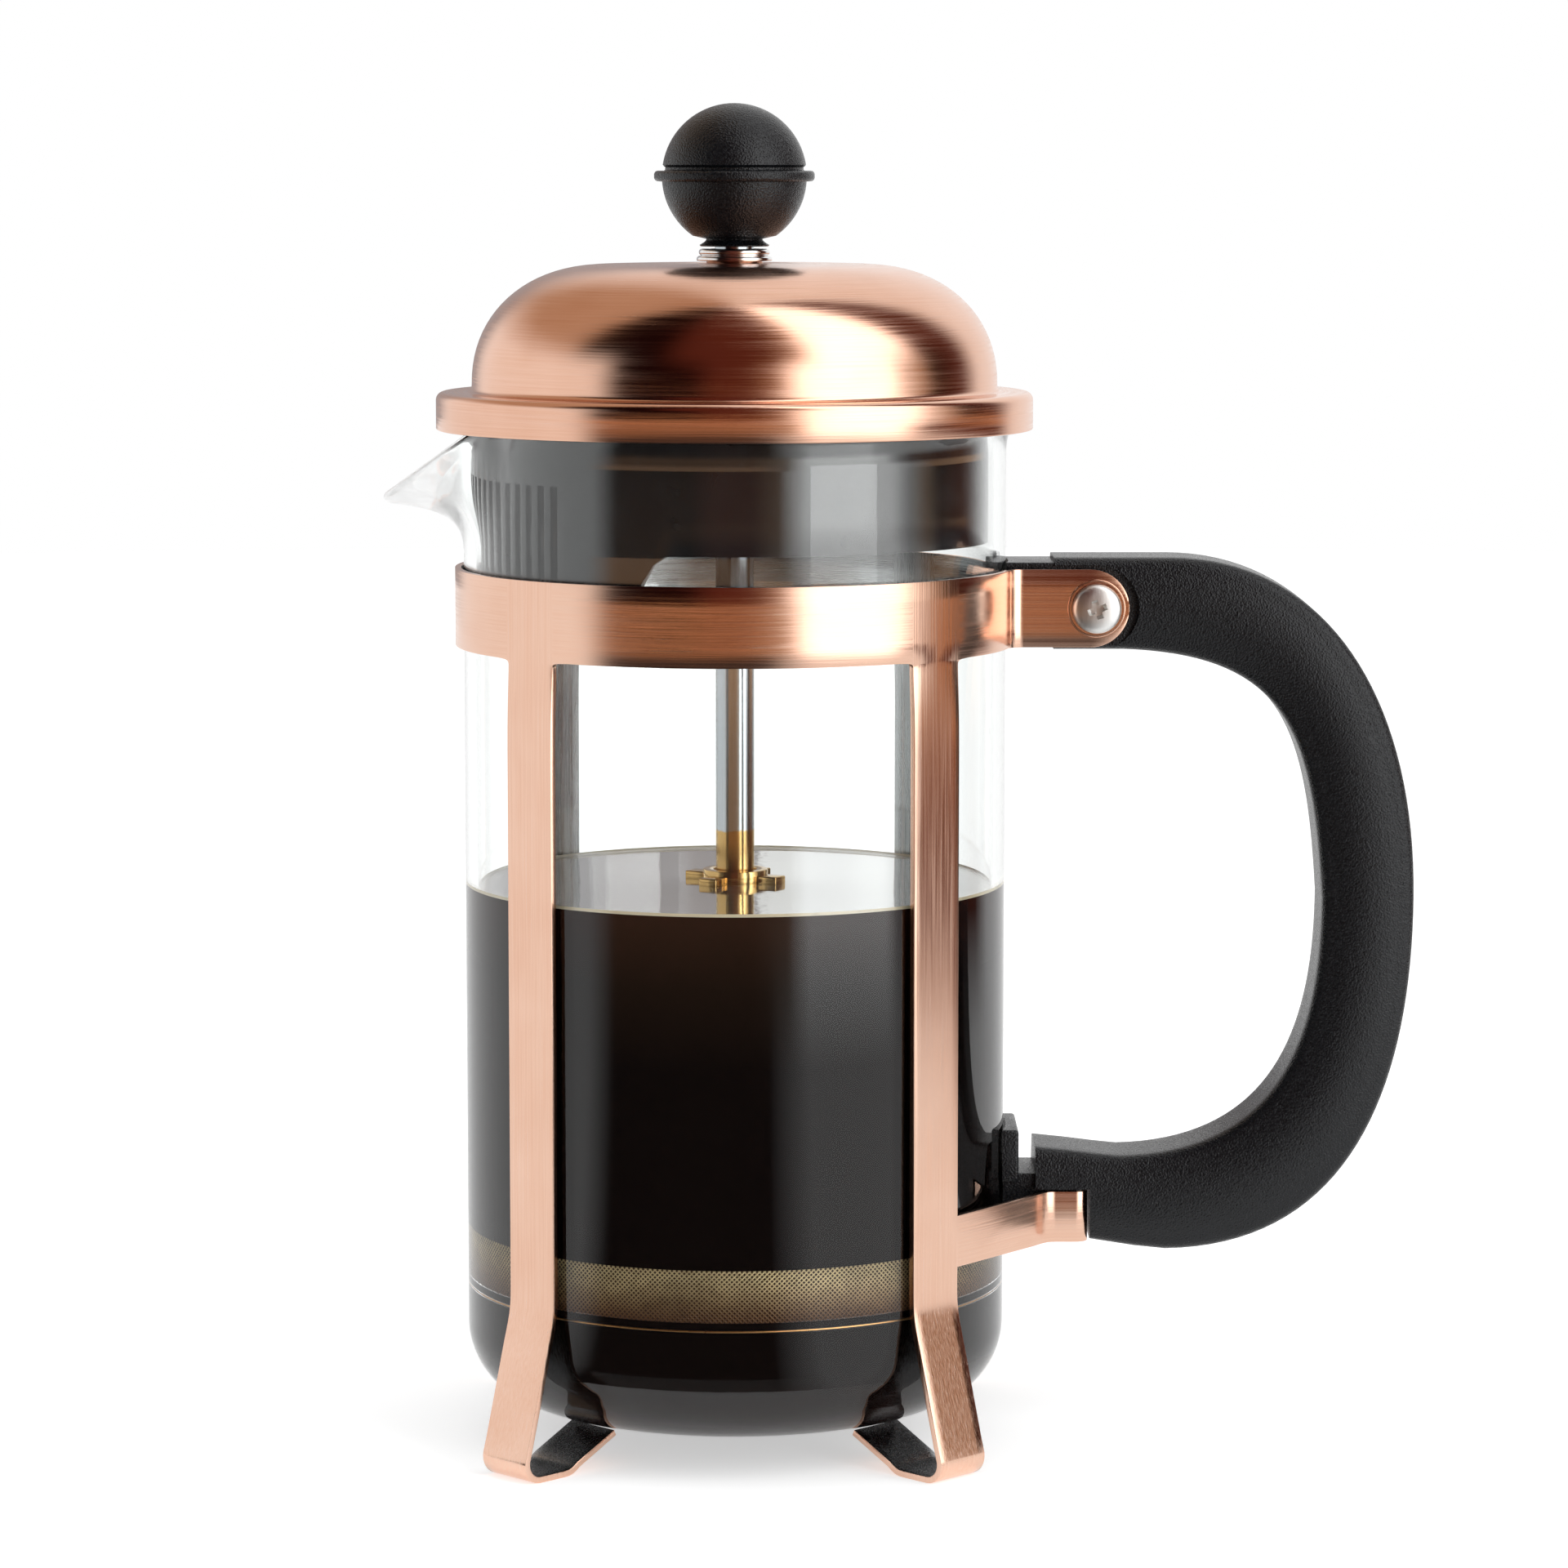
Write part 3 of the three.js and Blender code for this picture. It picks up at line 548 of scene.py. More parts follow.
    def tint(self, share: object, first: object, second: object) -> bpy.types.NodeSocket:
        """Blend two colours.

        Args:
            share: 0 gives the first and 1 the second.
            first: one colour, as three numbers or an output.
            second: the other.

        Returns:
            The blended colour.
        """
        node = self.add("ShaderNodeMix", data_type="RGBA")
        self.feed(node.inputs[0], share)
        for socket, value in ((node.inputs[6], first), (node.inputs[7], second)):
            self.feed(socket, value if isinstance(value, bpy.types.NodeSocket) else (*value, 1.0))
        return node.outputs[2]

    def between(self, share: object, first: object, second: object) -> bpy.types.NodeSocket:
        """Blend two numbers, 0 giving the first and 1 the second."""
        node = self.add("ShaderNodeMix", data_type="FLOAT")
        for i, value in ((0, share), (2, first), (3, second)):
            self.feed(node.inputs[i], value)
        return node.outputs[0]

    def cells(self, vector: object, scale: float) -> bpy.types.NodeSocket:
        """Distance from the middle of the nearest of many small cells."""
        node = self.add("ShaderNodeTexVoronoi", feature="F1")
        self.feed(node.inputs["Vector"], vector)
        node.inputs["Scale"].default_value = scale
        return node.outputs["Distance"]

    def relief(self, height: object, depth: float, strength: float = 1.0) -> None:
        """Raise the surface by a height from 0 to 1.

        Args:
            height: the height.
            depth: how far 1 stands out, in metres.
            strength: how much of the relief shows.
        """
        node = self.add("ShaderNodeBump")
        node.inputs["Strength"].default_value = strength
        node.inputs["Distance"].default_value = depth
        self.feed(node.inputs["Height"], height)
        self.tree.links.new(node.outputs[0], self.surface.inputs["Normal"])


class Brushing(Enum):
    """Which way the brush marks of the copper run."""

    TURNED = "round the axis on a turned shape"
    STRIP = "along the band and up the legs"


@dataclass(frozen=True)
class BrushedPlate:
    """Brushed sheet: copper plate under clear lacquer unless other colours are given."""

    name: str
    centre: Vector
    brushing: Brushing
    light: Colour = (0.85, 0.54, 0.41)
    deep: Colour = (0.72, 0.41, 0.28)
    roughness: float = 0.17
    fineness: float = 4200.0
    drift: float = 2.2
    along: float = 60.0
    cloud: float = 90.0
    leg_share: float = 0.975

    def material(self) -> bpy.types.Material:
        """The finish as a material."""
        p = Painter(self.name)
        x, y, z = p.place(self.centre)
        r = p.radius(x, y)
        c = p.sum("DIVIDE", x, r)
        s = p.sum("DIVIDE", y, r)
        up = p.times(z, self.fineness)
        out = p.times(r, self.fineness if self.brushing is Brushing.TURNED else 0.0)
        around = p.vector(p.times(c, self.drift), p.times(s, self.drift), up)
        marks = p.noise(around, 1.0, 3.0, out)
        if self.brushing is Brushing.STRIP:
            upright = p.vector(p.times(x, self.fineness), p.times(y, self.fineness), p.times(z, self.along))
            twice = p.sum("ABSOLUTE", p.times(p.times(c, s), 2.0))
            on_leg = p.span(twice, self.leg_share - 0.004, self.leg_share, 0.0, 1.0)
            marks = p.between(on_leg, marks, p.noise(upright, 1.0, 3.0))
        clouds = p.noise(p.vector(x, y, z), self.cloud, 2.0)
        shade = p.sum("ADD", p.times(marks, 0.6), p.times(clouds, 0.4))
        p.set(
            Base_Color=p.tint(p.span(shade, 0.3, 0.7, 0.0, 1.0), self.deep, self.light),
            Metallic=1.0,
            Roughness=p.span(marks, 0.25, 0.75, self.roughness - 0.05, self.roughness + 0.12),
        )
        p.relief(marks, 0.02 * MM, 0.6)
        return p.material


@dataclass(frozen=True)
class GrainedPlastic:
    """Black moulding with a fine grain that glints."""

    centre: Vector
    colour: Colour = (0.0025, 0.003, 0.004)
    lighter: Colour = (0.007, 0.008, 0.010)
    roughness: float = 0.26
    grain: float = 4400.0
    depth: float = 0.1 * MM

    def material(self) -> bpy.types.Material:
        """The finish as a material."""
        p = Painter("grained_black_plastic")
        place = p.vector(*p.place(self.centre))
        coarse = p.noise(place, self.grain * 0.8, 3.0)
        height = p.sum("ADD", p.times(p.cells(place, self.grain), 0.6), p.times(coarse, 0.7))
        p.set(
            Base_Color=p.tint(p.span(coarse, 0.3, 0.7, 0.0, 1.0), self.colour, self.lighter),
            Roughness=p.span(coarse, 0.3, 0.7, self.roughness - 0.08, self.roughness + 0.1),
            Specular_IOR_Level=0.34,
        )
        p.relief(height, self.depth, 1.0)
        return p.material


@dataclass(frozen=True)
class GlossPlastic:
    """Smooth black moulding with a faint orange-peel skin."""

    centre: Vector
    colour: Colour = (0.008, 0.009, 0.010)
    roughness: float = 0.16

    def material(self) -> bpy.types.Material:
        """The finish as a material."""
        p = Painter("gloss_black_plastic")
        place = p.vector(*p.place(self.centre))
        skin = p.noise(place, 260.0, 2.0)
        p.set(
            Base_Color=p.tint(skin, self.colour, tuple(v * 1.8 for v in self.colour)),
            Roughness=p.span(skin, 0.3, 0.7, self.roughness - 0.03, self.roughness + 0.05),
            IOR=1.5,
        )
        p.relief(skin, 0.02 * MM, 0.3)
        return p.material


class Metal(Enum):
    """The plain metals, as colour, roughness, marks along the axis and depth of the marks."""

    DRAWN = ((0.50, 0.54, 0.57), 0.13, 40.0, 0.004)
    CHROME = ((0.80, 0.80, 0.80), 0.09, 300.0, 0.003)
    ZINC = ((0.93, 0.93, 0.91), 0.40, 300.0, 0.004)
    STAINED = ((0.85, 0.46, 0.18), 0.30, 300.0, 0.003)
    SHEET = ((0.56, 0.55, 0.53), 0.24, 900.0, 0.004)


@dataclass(frozen=True)
class PlainMetal:
    """Steel without plating colour, with fine tool marks, amber low down: partly the collar's brass-like colour, partly
    a painted reflection of the coffee on the rod above it.
    """

    centre: Vector
    metal: Metal
    amber_and_reflection_z: float = -1.0
    # Amber low down on the steel: partly the collar's brass-like colour, partly a painted reflection of the coffee on
    # the rod.
    stain: Colour = (0.56, 0.37, 0.15)
    fineness: float = 3600.0

    def material(self) -> bpy.types.Material:
        """The finish as a material."""
        colour, roughness, along, depth = self.metal.value
        p = Painter(f"metal_{self.metal.name.lower()}")
        x, y, z = p.place(self.centre)
        marks = p.noise(p.vector(p.times(x, self.fineness), p.times(y, self.fineness), p.times(z, along)), 1.0, 3.0)
        plain = p.tint(p.span(marks, 0.3, 0.7, 0.0, 1.0), tuple(v * 0.9 for v in colour), colour)
        edge = p.times(p.noise(p.vector(x, y, z), 900.0, 2.0), 0.8 * MM)
        # Share of the amber below a wavy line: on the rod above the collar it is a painted reflection of the coffee.
        amber_and_reflection = p.span(p.sum("SUBTRACT", z, edge), self.amber_and_reflection_z, self.amber_and_reflection_z + 0.3 * MM, 1.0, 0.0)
        p.set(
            Base_Color=p.tint(amber_and_reflection, plain, self.stain),
            Metallic=1.0,
            Roughness=p.span(marks, 0.3, 0.7, roughness - 0.03, roughness + 0.06),
        )
        p.relief(marks, depth * MM, 0.5)
        return p.material


@dataclass(frozen=True)
class WireCloth:
    """Woven steel wire, stained golden by coffee."""

    centre: Vector
    lip_radius: float
    pitch: float = 0.62 * MM
    wire: Colour = (0.74, 0.60, 0.32)
    stained: Colour = (0.30, 0.13, 0.04)
    gap: Colour = (0.05, 0.02, 0.008)
    low_z: float = 19.0 * MM
    high_z: float = 28.5 * MM

    def material(self) -> bpy.types.Material:
        """The finish as a material."""
        p = Painter("wire_cloth")
        x, y, z = p.place(self.centre)
        r = p.radius(x, y)
        angle = p.sum("ARCTAN2", y, x)
        on_lip = p.sum("GREATER_THAN", r, self.lip_radius - 0.5 * MM)
        turns = round(math.tau * self.lip_radius / self.pitch)
        around, up = p.times(angle, float(turns)), p.times(z, math.tau / self.pitch)
        wires = []
        for flat, wrapped in ((x, p.sum("ADD", around, up)), (y, p.sum("SUBTRACT", around, up))):
            wave = p.between(on_lip, p.times(flat, math.tau / self.pitch), wrapped)
            wires.append(p.sum("ABSOLUTE", p.sum("SINE", p.times(wave, 0.5))))
        height = p.sum("MAXIMUM", *wires)
        stain = p.noise(p.vector(x, y, z), 700.0, 3.0)
        cloud = p.noise(p.vector(x, y, z), 120.0, 2.0)
        rise = p.span(z, self.low_z, self.high_z, 0.0, 1.0)
        lit = p.times(p.span(rise, 0.0, 0.7, 0.10, 1.0), p.span(cloud, 0.35, 0.65, 0.7, 1.0))
        cover = p.span(p.sum("ADD", height, p.times(stain, 0.25)), 0.75, 1.15, 0.0, 1.0)
        cover = p.times(cover, lit)
        wire = p.tint(p.span(rise, 0.25, 0.85, 0.0, 1.0), self.stained, self.wire)
        p.set(
            Base_Color=p.tint(cover, self.gap, wire),
            Metallic=0.45,
            Roughness=p.span(stain, 0.3, 0.7, 0.3, 0.45),
        )
        p.relief(height, 0.12 * MM, 0.8)
        return p.material


@dataclass(frozen=True)
class ClearGlass:
    """Clear glass with the faintest smears."""

    centre: Vector
    lip_start: float = -34.0 * MM
    lip_clear: float = -36.5 * MM
    lip_alpha: float = 0.38
    colour: Colour = (0.975, 0.99, 0.985)

    def material(self) -> bpy.types.Material:
        """The finish as a material."""
        p = Painter("clear_glass")
        x, y, z = p.place(self.centre)
        place = p.vector(x, y, z)
        smear = p.noise(place, 55.0, 3.0)
        p.set(
            Base_Color=(*self.colour, 1.0),
            Transmission_Weight=1.0,
            Alpha=p.span(x, self.lip_clear, self.lip_start, self.lip_alpha, 1.0),
            Roughness=p.span(smear, 0.45, 0.75, 0.0, 0.02),
            IOR=1.47,
        )
        p.relief(p.noise(place, 38.0, 1.0), 0.04 * MM, 0.15)
        return p.material


@dataclass(frozen=True)
class BlackCoffee:
    """Black coffee, a little redder near the surface and at the foot of the glass."""

    centre: Vector
    surface_z: float
    base_z: float
    depths: Colour = (0.0045, 0.0022, 0.0018)
    shallows: Colour = (0.022, 0.007, 0.005)

    def material(self) -> bpy.types.Material:
        """The finish as a material."""
        p = Painter("black_coffee")
        x, y, z = p.place(self.centre)
        swirl = p.noise(p.vector(x, y, z), 80.0, 2.0)
        top = p.span(z, self.surface_z - 9 * MM, self.surface_z, 0.0, 1.0)
        thin = p.sum("MAXIMUM", top, p.span(z, self.base_z, self.base_z + 9 * MM, 0.7, 0.0))
        share = p.times(thin, p.span(swirl, 0.3, 0.7, 0.6, 1.0))
        p.set(
            Base_Color=p.tint(share, self.depths, self.shallows),
            Roughness=p.span(swirl, 0.3, 0.7, 0.03, 0.08),
            IOR=1.34,
            Specular_IOR_Level=0.15,
        )
        return p.material


@dataclass(frozen=True)
class CoffeeFilm:
    """Bright oily skin on the coffee, with pale froth along the glass."""

    centre: Vector
    radius: float
    skin: Colour = (0.20, 0.17, 0.14)
    froth: Colour = (0.80, 0.70, 0.48)
    bubbles: float = 900.0

    def material(self) -> bpy.types.Material:
        """The finish as a material."""
        p = Painter("coffee_film")
        x, y, z = p.place(self.centre)
        r = p.radius(x, y)
        place = p.vector(x, y, z)
        patch = p.noise(place, 110.0, 3.0)
        near = p.span(r, self.radius - 6 * MM, self.radius - 0.5 * MM, 0.0, 1.0)
        share = p.span(p.times(near, p.sum("ADD", patch, 0.5)), 0.35, 0.8, 0.0, 1.0)
        p.set(
            Base_Color=p.tint(share, self.skin, self.froth),
            Roughness=p.span(share, 0.0, 1.0, 0.04, 0.3),
            IOR=1.5,
            Coat_Weight=1.0,
            Coat_IOR=1.7,
            Coat_Roughness=0.05,
        )
        p.relief(p.cells(place, self.bubbles), 0.08 * MM, 0.25)
        return p.material


@dataclass(frozen=True)
class Finishes:
    """Every finish of the press, made once."""

    copper_turned: bpy.types.Material
    copper_strip: bpy.types.Material
    bare_strip: bpy.types.Material
    grained: bpy.types.Material
    gloss: bpy.types.Material
    chrome: bpy.types.Material
    zinc: bpy.types.Material
    drawn: bpy.types.Material
    stained: bpy.types.Material
    sheet: bpy.types.Material
    cloth: bpy.types.Material
    glass: bpy.types.Material
    coffee: bpy.types.Material
    film: bpy.types.Material


# ---------------------------------------------------------------- sub-assemblies


@dataclass
class StripFrame:
    """Band, ears, legs and brace, stamped from one copper-plated strip."""

    axis_x: float
    middle_r: float = 35.7 * MM
    strip: float = 0.8 * MM
    leg_width: float = 8.0 * MM
    fillet: float = 0.7 * MM
    ear_y: float = 6.5 * MM
    ear_bend: float = 2.4 * MM
    ear_end: float = 50.6 * MM
    splay_z: float = 20.7 * MM
    foot_r: float = 40.6 * MM
    curl_r: float = 2.2 * MM
    pad: float = 4.0 * MM
    foot_end_r: float = 25.5 * MM
    foot_end_z: float = 4.3 * MM
    brace_top: float = 32.8 * MM
    brace_low: float = 26.2 * MM
    elbow: Point = (39.2 * MM, 8.2 * MM)
    loop_x: float = 45.4 * MM
    boss_r: float = 3.6 * MM
    bead: float = 0.13 * MM
    flattening: tuple[Point, ...] = ((0.8, 0.95), (2.0, 0.8), (3.6, 0.55), (5.6, 0.3), (8.0, 0.1), (11.0, 0.01))

    def _swing(self, bm: bmesh.types.BMesh, edges: list, angle: float, steps: int) -> tuple[list, list]:
        """Turn the last upright edges on about the axis.

        Args:
            bm: the sheet.
            edges: the upright edges that move on.
            angle: how far, in radians.
            steps: columns of faces.

        Returns:
            The new last edges, and the new lowest edges.
        """
        before = set(bm.edges)
        verts = corners(edges)
        last = swing(bm, [*verts, *edges], self.axis_x, angle, steps)
        lowest = min(v.co.z for v in verts)
        fresh = [e for e in bm.edges if e not in before]
        under = [e for e in fresh if all(abs(v.co.z - lowest) < SAME for v in e.verts)]
        return last, under

    def _push(self, bm: bmesh.types.BMesh, edges: list, step: Vector) -> list:
        """Extrude edges by one step.

        Args:
            bm: the sheet.
            edges: the edges.
            step: how far and which way.

        Returns:
            The new edges.
        """
        done = bmesh.ops.extrude_edge_only(bm, edges=edges)
        verts = [g for g in done["geom"] if isinstance(g, bmesh.types.BMVert)]
        bmesh.ops.translate(bm, verts=verts, vec=step)
        return edges_of(done["geom"])

    def _leg_line(self, low: float) -> list[Point]:
        """Radius and height along a leg, from the band's lower edge to the inner end of the foot."""
        floor = self.strip / 2
        curl = (self.foot_r - self.curl_r, floor + self.curl_r)
        start = (self.middle_r, self.splay_z + 3 * MM)
        knee = (self.middle_r + 1.2 * MM, self.splay_z - 4.0 * MM)
        shin = (self.foot_r - 0.62 * MM, curl[1] + 2.4 * MM)
        inner = (curl[0] - self.pad, floor)
        line = [(self.middle_r, z) for z in (low, self.brace_top, self.brace_low)]
        line.append(start)
        leave = (self.middle_r + 0.35 * MM, self.splay_z - 1.0 * MM)
        line += bezier(start, (self.middle_r, self.splay_z), leave, knee, 6)
        line.append(shin)
        line += arc(curl, self.curl_r, 0.2, -math.pi / 2, 9)
        line.append(inner)
        lift = [(inner[0] - back * MM, floor + up * MM) for back, up in ((1.4, 0.0), (1.6, 0.25), (2.6, 0.9))]
        return [*line, *bezier(inner, *lift, 4), (self.foot_end_r, self.foot_end_z)]

    def _leg(self, bm: bmesh.types.BMesh, edges: list, azimuth: float, low: float) -> list:
        """Draw one leg down from the band's lower edges, its curve dying out below them.

        Args:
            bm: the sheet.
            edges: the band's lower edges over the leg.
            azimuth: where the leg stands.
            low: height of the band's lower edge.

        Returns:
            The corners of the leg between the brace's two heights.
        """
        out = Vector((math.cos(azimuth), math.sin(azimuth), 0.0))
        across = Matrix.Rotation(math.pi / 2 - azimuth, 4, "Z") @ Matrix.Translation((-self.axis_x, 0.0, 0.0))
        across = Matrix.Translation((0.0, -self.middle_r, 0.0)) @ across
        width, depth = 1.0, 0.0
        for i in range(1, 5):
            swing = math.pi / 8 * i
            drop = self.fillet * (1 - math.cos(swing))
            edges = self._push(bm, edges, Vector((0.0, 0.0, depth - drop)))
            side = (self.leg_width / 2 + self.fillet * (1 - math.sin(swing))) / (self.leg_width / 2 + self.fillet)
            verts = corners(edges)
            bmesh.ops.scale(bm, vec=(side / width, 1.0, 1.0), space=across, verts=verts)
            width, depth = side, drop
        depth, curve = 0.0, 1.0
        for drop, bend in self.flattening:
            edges = self._push(bm, edges, Vector((0.0, 0.0, (depth - drop) * MM)))
            verts = corners(edges)
            bmesh.ops.scale(bm, vec=(1.0, bend / curve, 1.0), space=across, verts=verts)
            depth, curve = drop, bend
        line = self._leg_line(low - self.fillet - depth * MM)
        marks: list = []
        for (r0, z0), (r1, z1) in zip(line, line[1:]):
            before = set(bm.edges)
            edges = self._push(bm, edges, out * (r1 - r0) + Vector((0.0, 0.0, z1 - z0)))
            if abs(z1 - self.brace_low) < SAME:
                marks = [e for e in bm.edges if e not in before]
        return marks

    def _brace(self, bm: bmesh.types.BMesh, edges: list) -> None:
        """Run the brace from the side of a right-hand leg to the middle of the handle."""
        first = edges[0].verts[0].co
        bend = [(self.elbow[0] - 0.9 * MM, -self.elbow[1] - 1.3 * MM)]
        bend += bezier(bend[0], (39.6 * MM, -7.6 * MM), (40.2 * MM, -self.ear_y), (41.6 * MM, -self.ear_y), 6)
        corner = arc((self.loop_x - 1.2 * MM, -self.ear_y + 1.2 * MM), 1.2 * MM, -math.pi / 2, 0.0, 6)
        here = Vector((first.x, first.y, 0.0))
        for x, y in [*bend, *corner, (self.loop_x, 0.0)]:
            there = Vector((self.axis_x + x, y, 0.0))
            edges = self._push(bm, edges, there - here)
            here = there

    def _ear(self, bm: bmesh.types.BMesh, edges: list, open_angle: float, middle: float) -> None:
        """Bend the band's end outwards and round it off.

        Args:
            bm: the sheet.
            edges: the band's last upright edges.
            open_angle: where the bend starts.
            middle: height of the ear's middle line.
        """
        bend_y = self.ear_y + self.ear_bend
        bend_x = math.sqrt((self.middle_r + self.ear_bend) ** 2 - bend_y**2)
        heights = [v.co.z for v in corners(edges)]
        half = (max(heights) - min(heights)) / 2
        turn = arc((bend_x, -bend_y), self.ear_bend, math.pi - open_angle, math.pi / 2, 9)
        here = Vector((*turn[0], 0.0))
        centre_x = self.ear_end - half
        for x, y in [*turn[1:], (centre_x, -self.ear_y)]:
            there = Vector((x, y, 0.0))
            edges = self._push(bm, edges, there - here)
            here = there
        size = 1.0
        for i in range(1, 15):
            swing = math.pi / 2 * i / 14.5
            there = Vector((centre_x + half * math.sin(swing), -self.ear_y, 0.0))
            edges = self._push(bm, edges, there - here)
            here = there
            factor = math.cos(swing) / size
            size = math.cos(swing)
            verts = corners(edges)
            shift = Matrix.Translation((0.0, 0.0, -middle))
            bmesh.ops.scale(bm, vec=(1.0, 1.0, factor), space=shift, verts=verts)

    def sheet(self) -> bmesh.types.BMesh:
        """The whole strip as a sheet without thickness."""
        low, high = (corner.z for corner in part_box("frame_band"))
        rows = 4
        start = self.axis_x - self.middle_r
        bm = chain([Vector((start, 0.0, low + (high - low) * i / rows)) for i in range(rows + 1)])
        half = math.asin((self.leg_width / 2 + self.fillet) / self.middle_r)
        bend_y = self.ear_y + self.ear_bend
        opening = math.asin(bend_y / (self.middle_r + self.ear_bend))
        quarter = math.pi / 4
        edges = bm.edges[:]
        edges, _ = self._swing(bm, edges, quarter - half, 14)
        edges, left = self._swing(bm, edges, 2 * half, 6)
        edges, _ = self._swing(bm, edges, 2 * quarter - 2 * half, 26)
        edges, right = self._swing(bm, edges, 2 * half, 6)
        edges, _ = self._swing(bm, edges, quarter - half - opening, 9)
        self._ear(bm, edges, opening, (low + high) / 2)
        self._leg(bm, left, -3 * quarter, low)
        marks = self._leg(bm, right, -quarter, low)
        upright = [e for e in marks if abs(e.verts[0].co.z - e.verts[1].co.z) > 1 * MM]
        self._brace(bm, [max(upright, key=lambda e: e.verts[0].co.x)])
        half_strip = bm.verts[:] + bm.edges[:] + bm.faces[:]
        bmesh.ops.mirror(bm, geom=half_strip, matrix=Matrix.Identity(4), merge_dist=1e-5, axis="Y")
        tidy(bm)
        far = min(bm.faces, key=lambda f: f.calc_center_median().x)
        if far.normal.x > 0:
            bmesh.ops.reverse_faces(bm, faces=bm.faces)
        return bm

    def build(self, finishes: Finishes) -> None:
        """Make the strip and the pressed rings on its ears.

        Args:
            finishes: where the copper comes from.
        """
        shown(
            "strip_frame",
            self.sheet(),
            finishes.copper_strip,
            "frame",
            ["frame_band", "leg_front_left", "leg_front_right", "leg_rear_left", "leg_rear_right", "handle_brace"],
            wall=self.strip,
            wall_side=0.0,
            rim=0.14 * MM,
            sharp=0.6,
            inside=finishes.bare_strip,
        )
        low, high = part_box("handle_screw")
        x, z = (low.x + high.x) / 2, (low.z + high.z) / 2
        for side, name in ((-1.0, "ear_ring_front"), (1.0, "ear_ring_rear")):
            bead = arc((self.boss_r, self.ear_y + self.strip / 2), self.bead, 0.0, math.tau, 12)[:-1]
            bm = turned(bead, 0.0, 64)
            turn = Matrix.Rotation(math.radians(-90.0) * side, 4, "X")
            bmesh.ops.transform(bm, matrix=Matrix.Translation((x, 0.0, z)) @ turn, verts=bm.verts)
            bmesh.ops.recalc_face_normals(bm, faces=bm.faces)
            shown(name, bm, finishes.copper_strip, "frame")


@dataclass
class Handle:
    """Black moulded D handle with its screw and cap nut."""

    axis_x: float
    reach: float = 87.8 * MM
    inner_x: float = 75.9 * MM
    top_z: float = 115.1 * MM
    under_z: float = 103.3 * MM
    middle_z: float = 71.0 * MM
    low_top_z: float = 38.4 * MM
    low_z: float = 24.9 * MM
    half: float = 7.0 * MM
    crown: float = 0.9 * MM
    corner: float = 1.5 * MM
    tongue_y: float = 5.8 * MM
    screw_x: float = 46.4 * MM
    screw_z: float = 108.7 * MM
    screw_hole_r: float = 2.0 * MM
    ear_r: float = 5.5 * MM
    cut_x: float = 30.0 * MM
    cut_y: float = 12.0 * MM
    cheek_x: float = 46.1 * MM
    cheek_low: float = 18.0 * MM
    cheek_top: float = 33.1 * MM
    loop_x: float = 44.4 * MM
    glass_r: float = 35.3 * MM
    skim: float = 0.01 * MM
    blade: Point = (1.55 * MM, 0.42 * MM)
    blade_depth: float = 1.4 * MM
    screw_turn: float = 0.35
    nut_r: float = 3.46 * MM
    cap_r: float = 2.7 * MM

    def _lines(self) -> tuple[list[Point], list[Point]]:
        """Outer and inner line of the D, with as many points each, from the upper end to the lower."""
        bend, reach, low = (56 * MM, self.top_z), (self.reach, self.middle_z), (56 * MM, self.low_z)
        outer = [(41 * MM, self.top_z), (46 * MM, self.top_z), (51 * MM, self.top_z), bend]
        outer += bezier(bend, (76 * MM, self.top_z), (self.reach, 97 * MM), reach, 34)
        outer += bezier(reach, (self.reach, 46 * MM), (80 * MM, self.low_z + 0.3 * MM), low, 34)
        outer += [mm(52, 25.3), mm(46.2, 26.2), mm(39, 26.5)]
        start, middle, end = (50 * MM, self.under_z), (self.inner_x, self.middle_z), (50 * MM, 37.2 * MM)
        inner = [(41 * MM, self.under_z), (44 * MM, self.under_z), (47 * MM, self.under_z), start]
        inner += bezier(start, (71 * MM, self.under_z - 0.8 * MM), (74.5 * MM, 93 * MM), middle, 34)
        inner += bezier(middle, (self.inner_x, 52 * MM), (70.5 * MM, 37.6 * MM), end, 34)
        inner += [mm(47, 37.5), mm(43, 38.0), (39 * MM, self.low_top_z)]
        return outer, inner

    def _section(self, width: float) -> list[Point]:
        """Ring of one section, across and sideways, for a given half width."""
        c = self.corner
        edge = self.half - self.crown
        quarter = [(width, 0.0), (width, (edge - c) * 0.55)]
        quarter += arc((width - c, edge - c), c, 0.0, math.pi / 2, 4)
        flat = width - c
        for share in (0.8, 0.6, 0.4, 0.2):
            quarter.append((flat * share, edge + self.crown * (1 - share**2)))
        top = [*quarter, (0.0, self.half), *[(-a, b) for a, b in reversed(quarter)]]
        return top + [(a, -b) for a, b in reversed(top[1:-1])]

    def grip(self) -> bmesh.types.BMesh:
        """The D, drawn out ring by ring along its lines."""
        outer, inner = self._lines()
        bm = bmesh.new()
        edges: list = []
        first: list = []
        for (ox, oz), (ix, iz) in zip(outer, inner):
            across = Vector((ox - ix, 0.0, oz - iz))
            middle = Vector((self.axis_x + (ox + ix) / 2, 0.0, (oz + iz) / 2))
            width = across.length / 2
            across.normalize()
            ring = [middle + across * a + Vector((0.0, b, 0.0)) for a, b in self._section(width)]
            if not edges:
                verts = [bm.verts.new(co) for co in ring]
                edges = [bm.edges.new((verts[i], verts[(i + 1) % len(verts)])) for i in range(len(verts))]
                first = edges
            else:
                done = bmesh.ops.extrude_edge_only(bm, edges=edges)
                edges = edges_of(done["geom"])
                start = min(corners(edges), key=lambda v: (v.co - last_start).length)
                ordered = self._ordered(start, edges, last_second)
                for vert, co in zip(ordered, ring):
                    vert.co = co
            last_start, last_second = ring[0], ring[1]
        for end in (first, edges):
            bmesh.ops.edgeloop_fill(bm, edges=end)
        tidy(bm)
        return bm

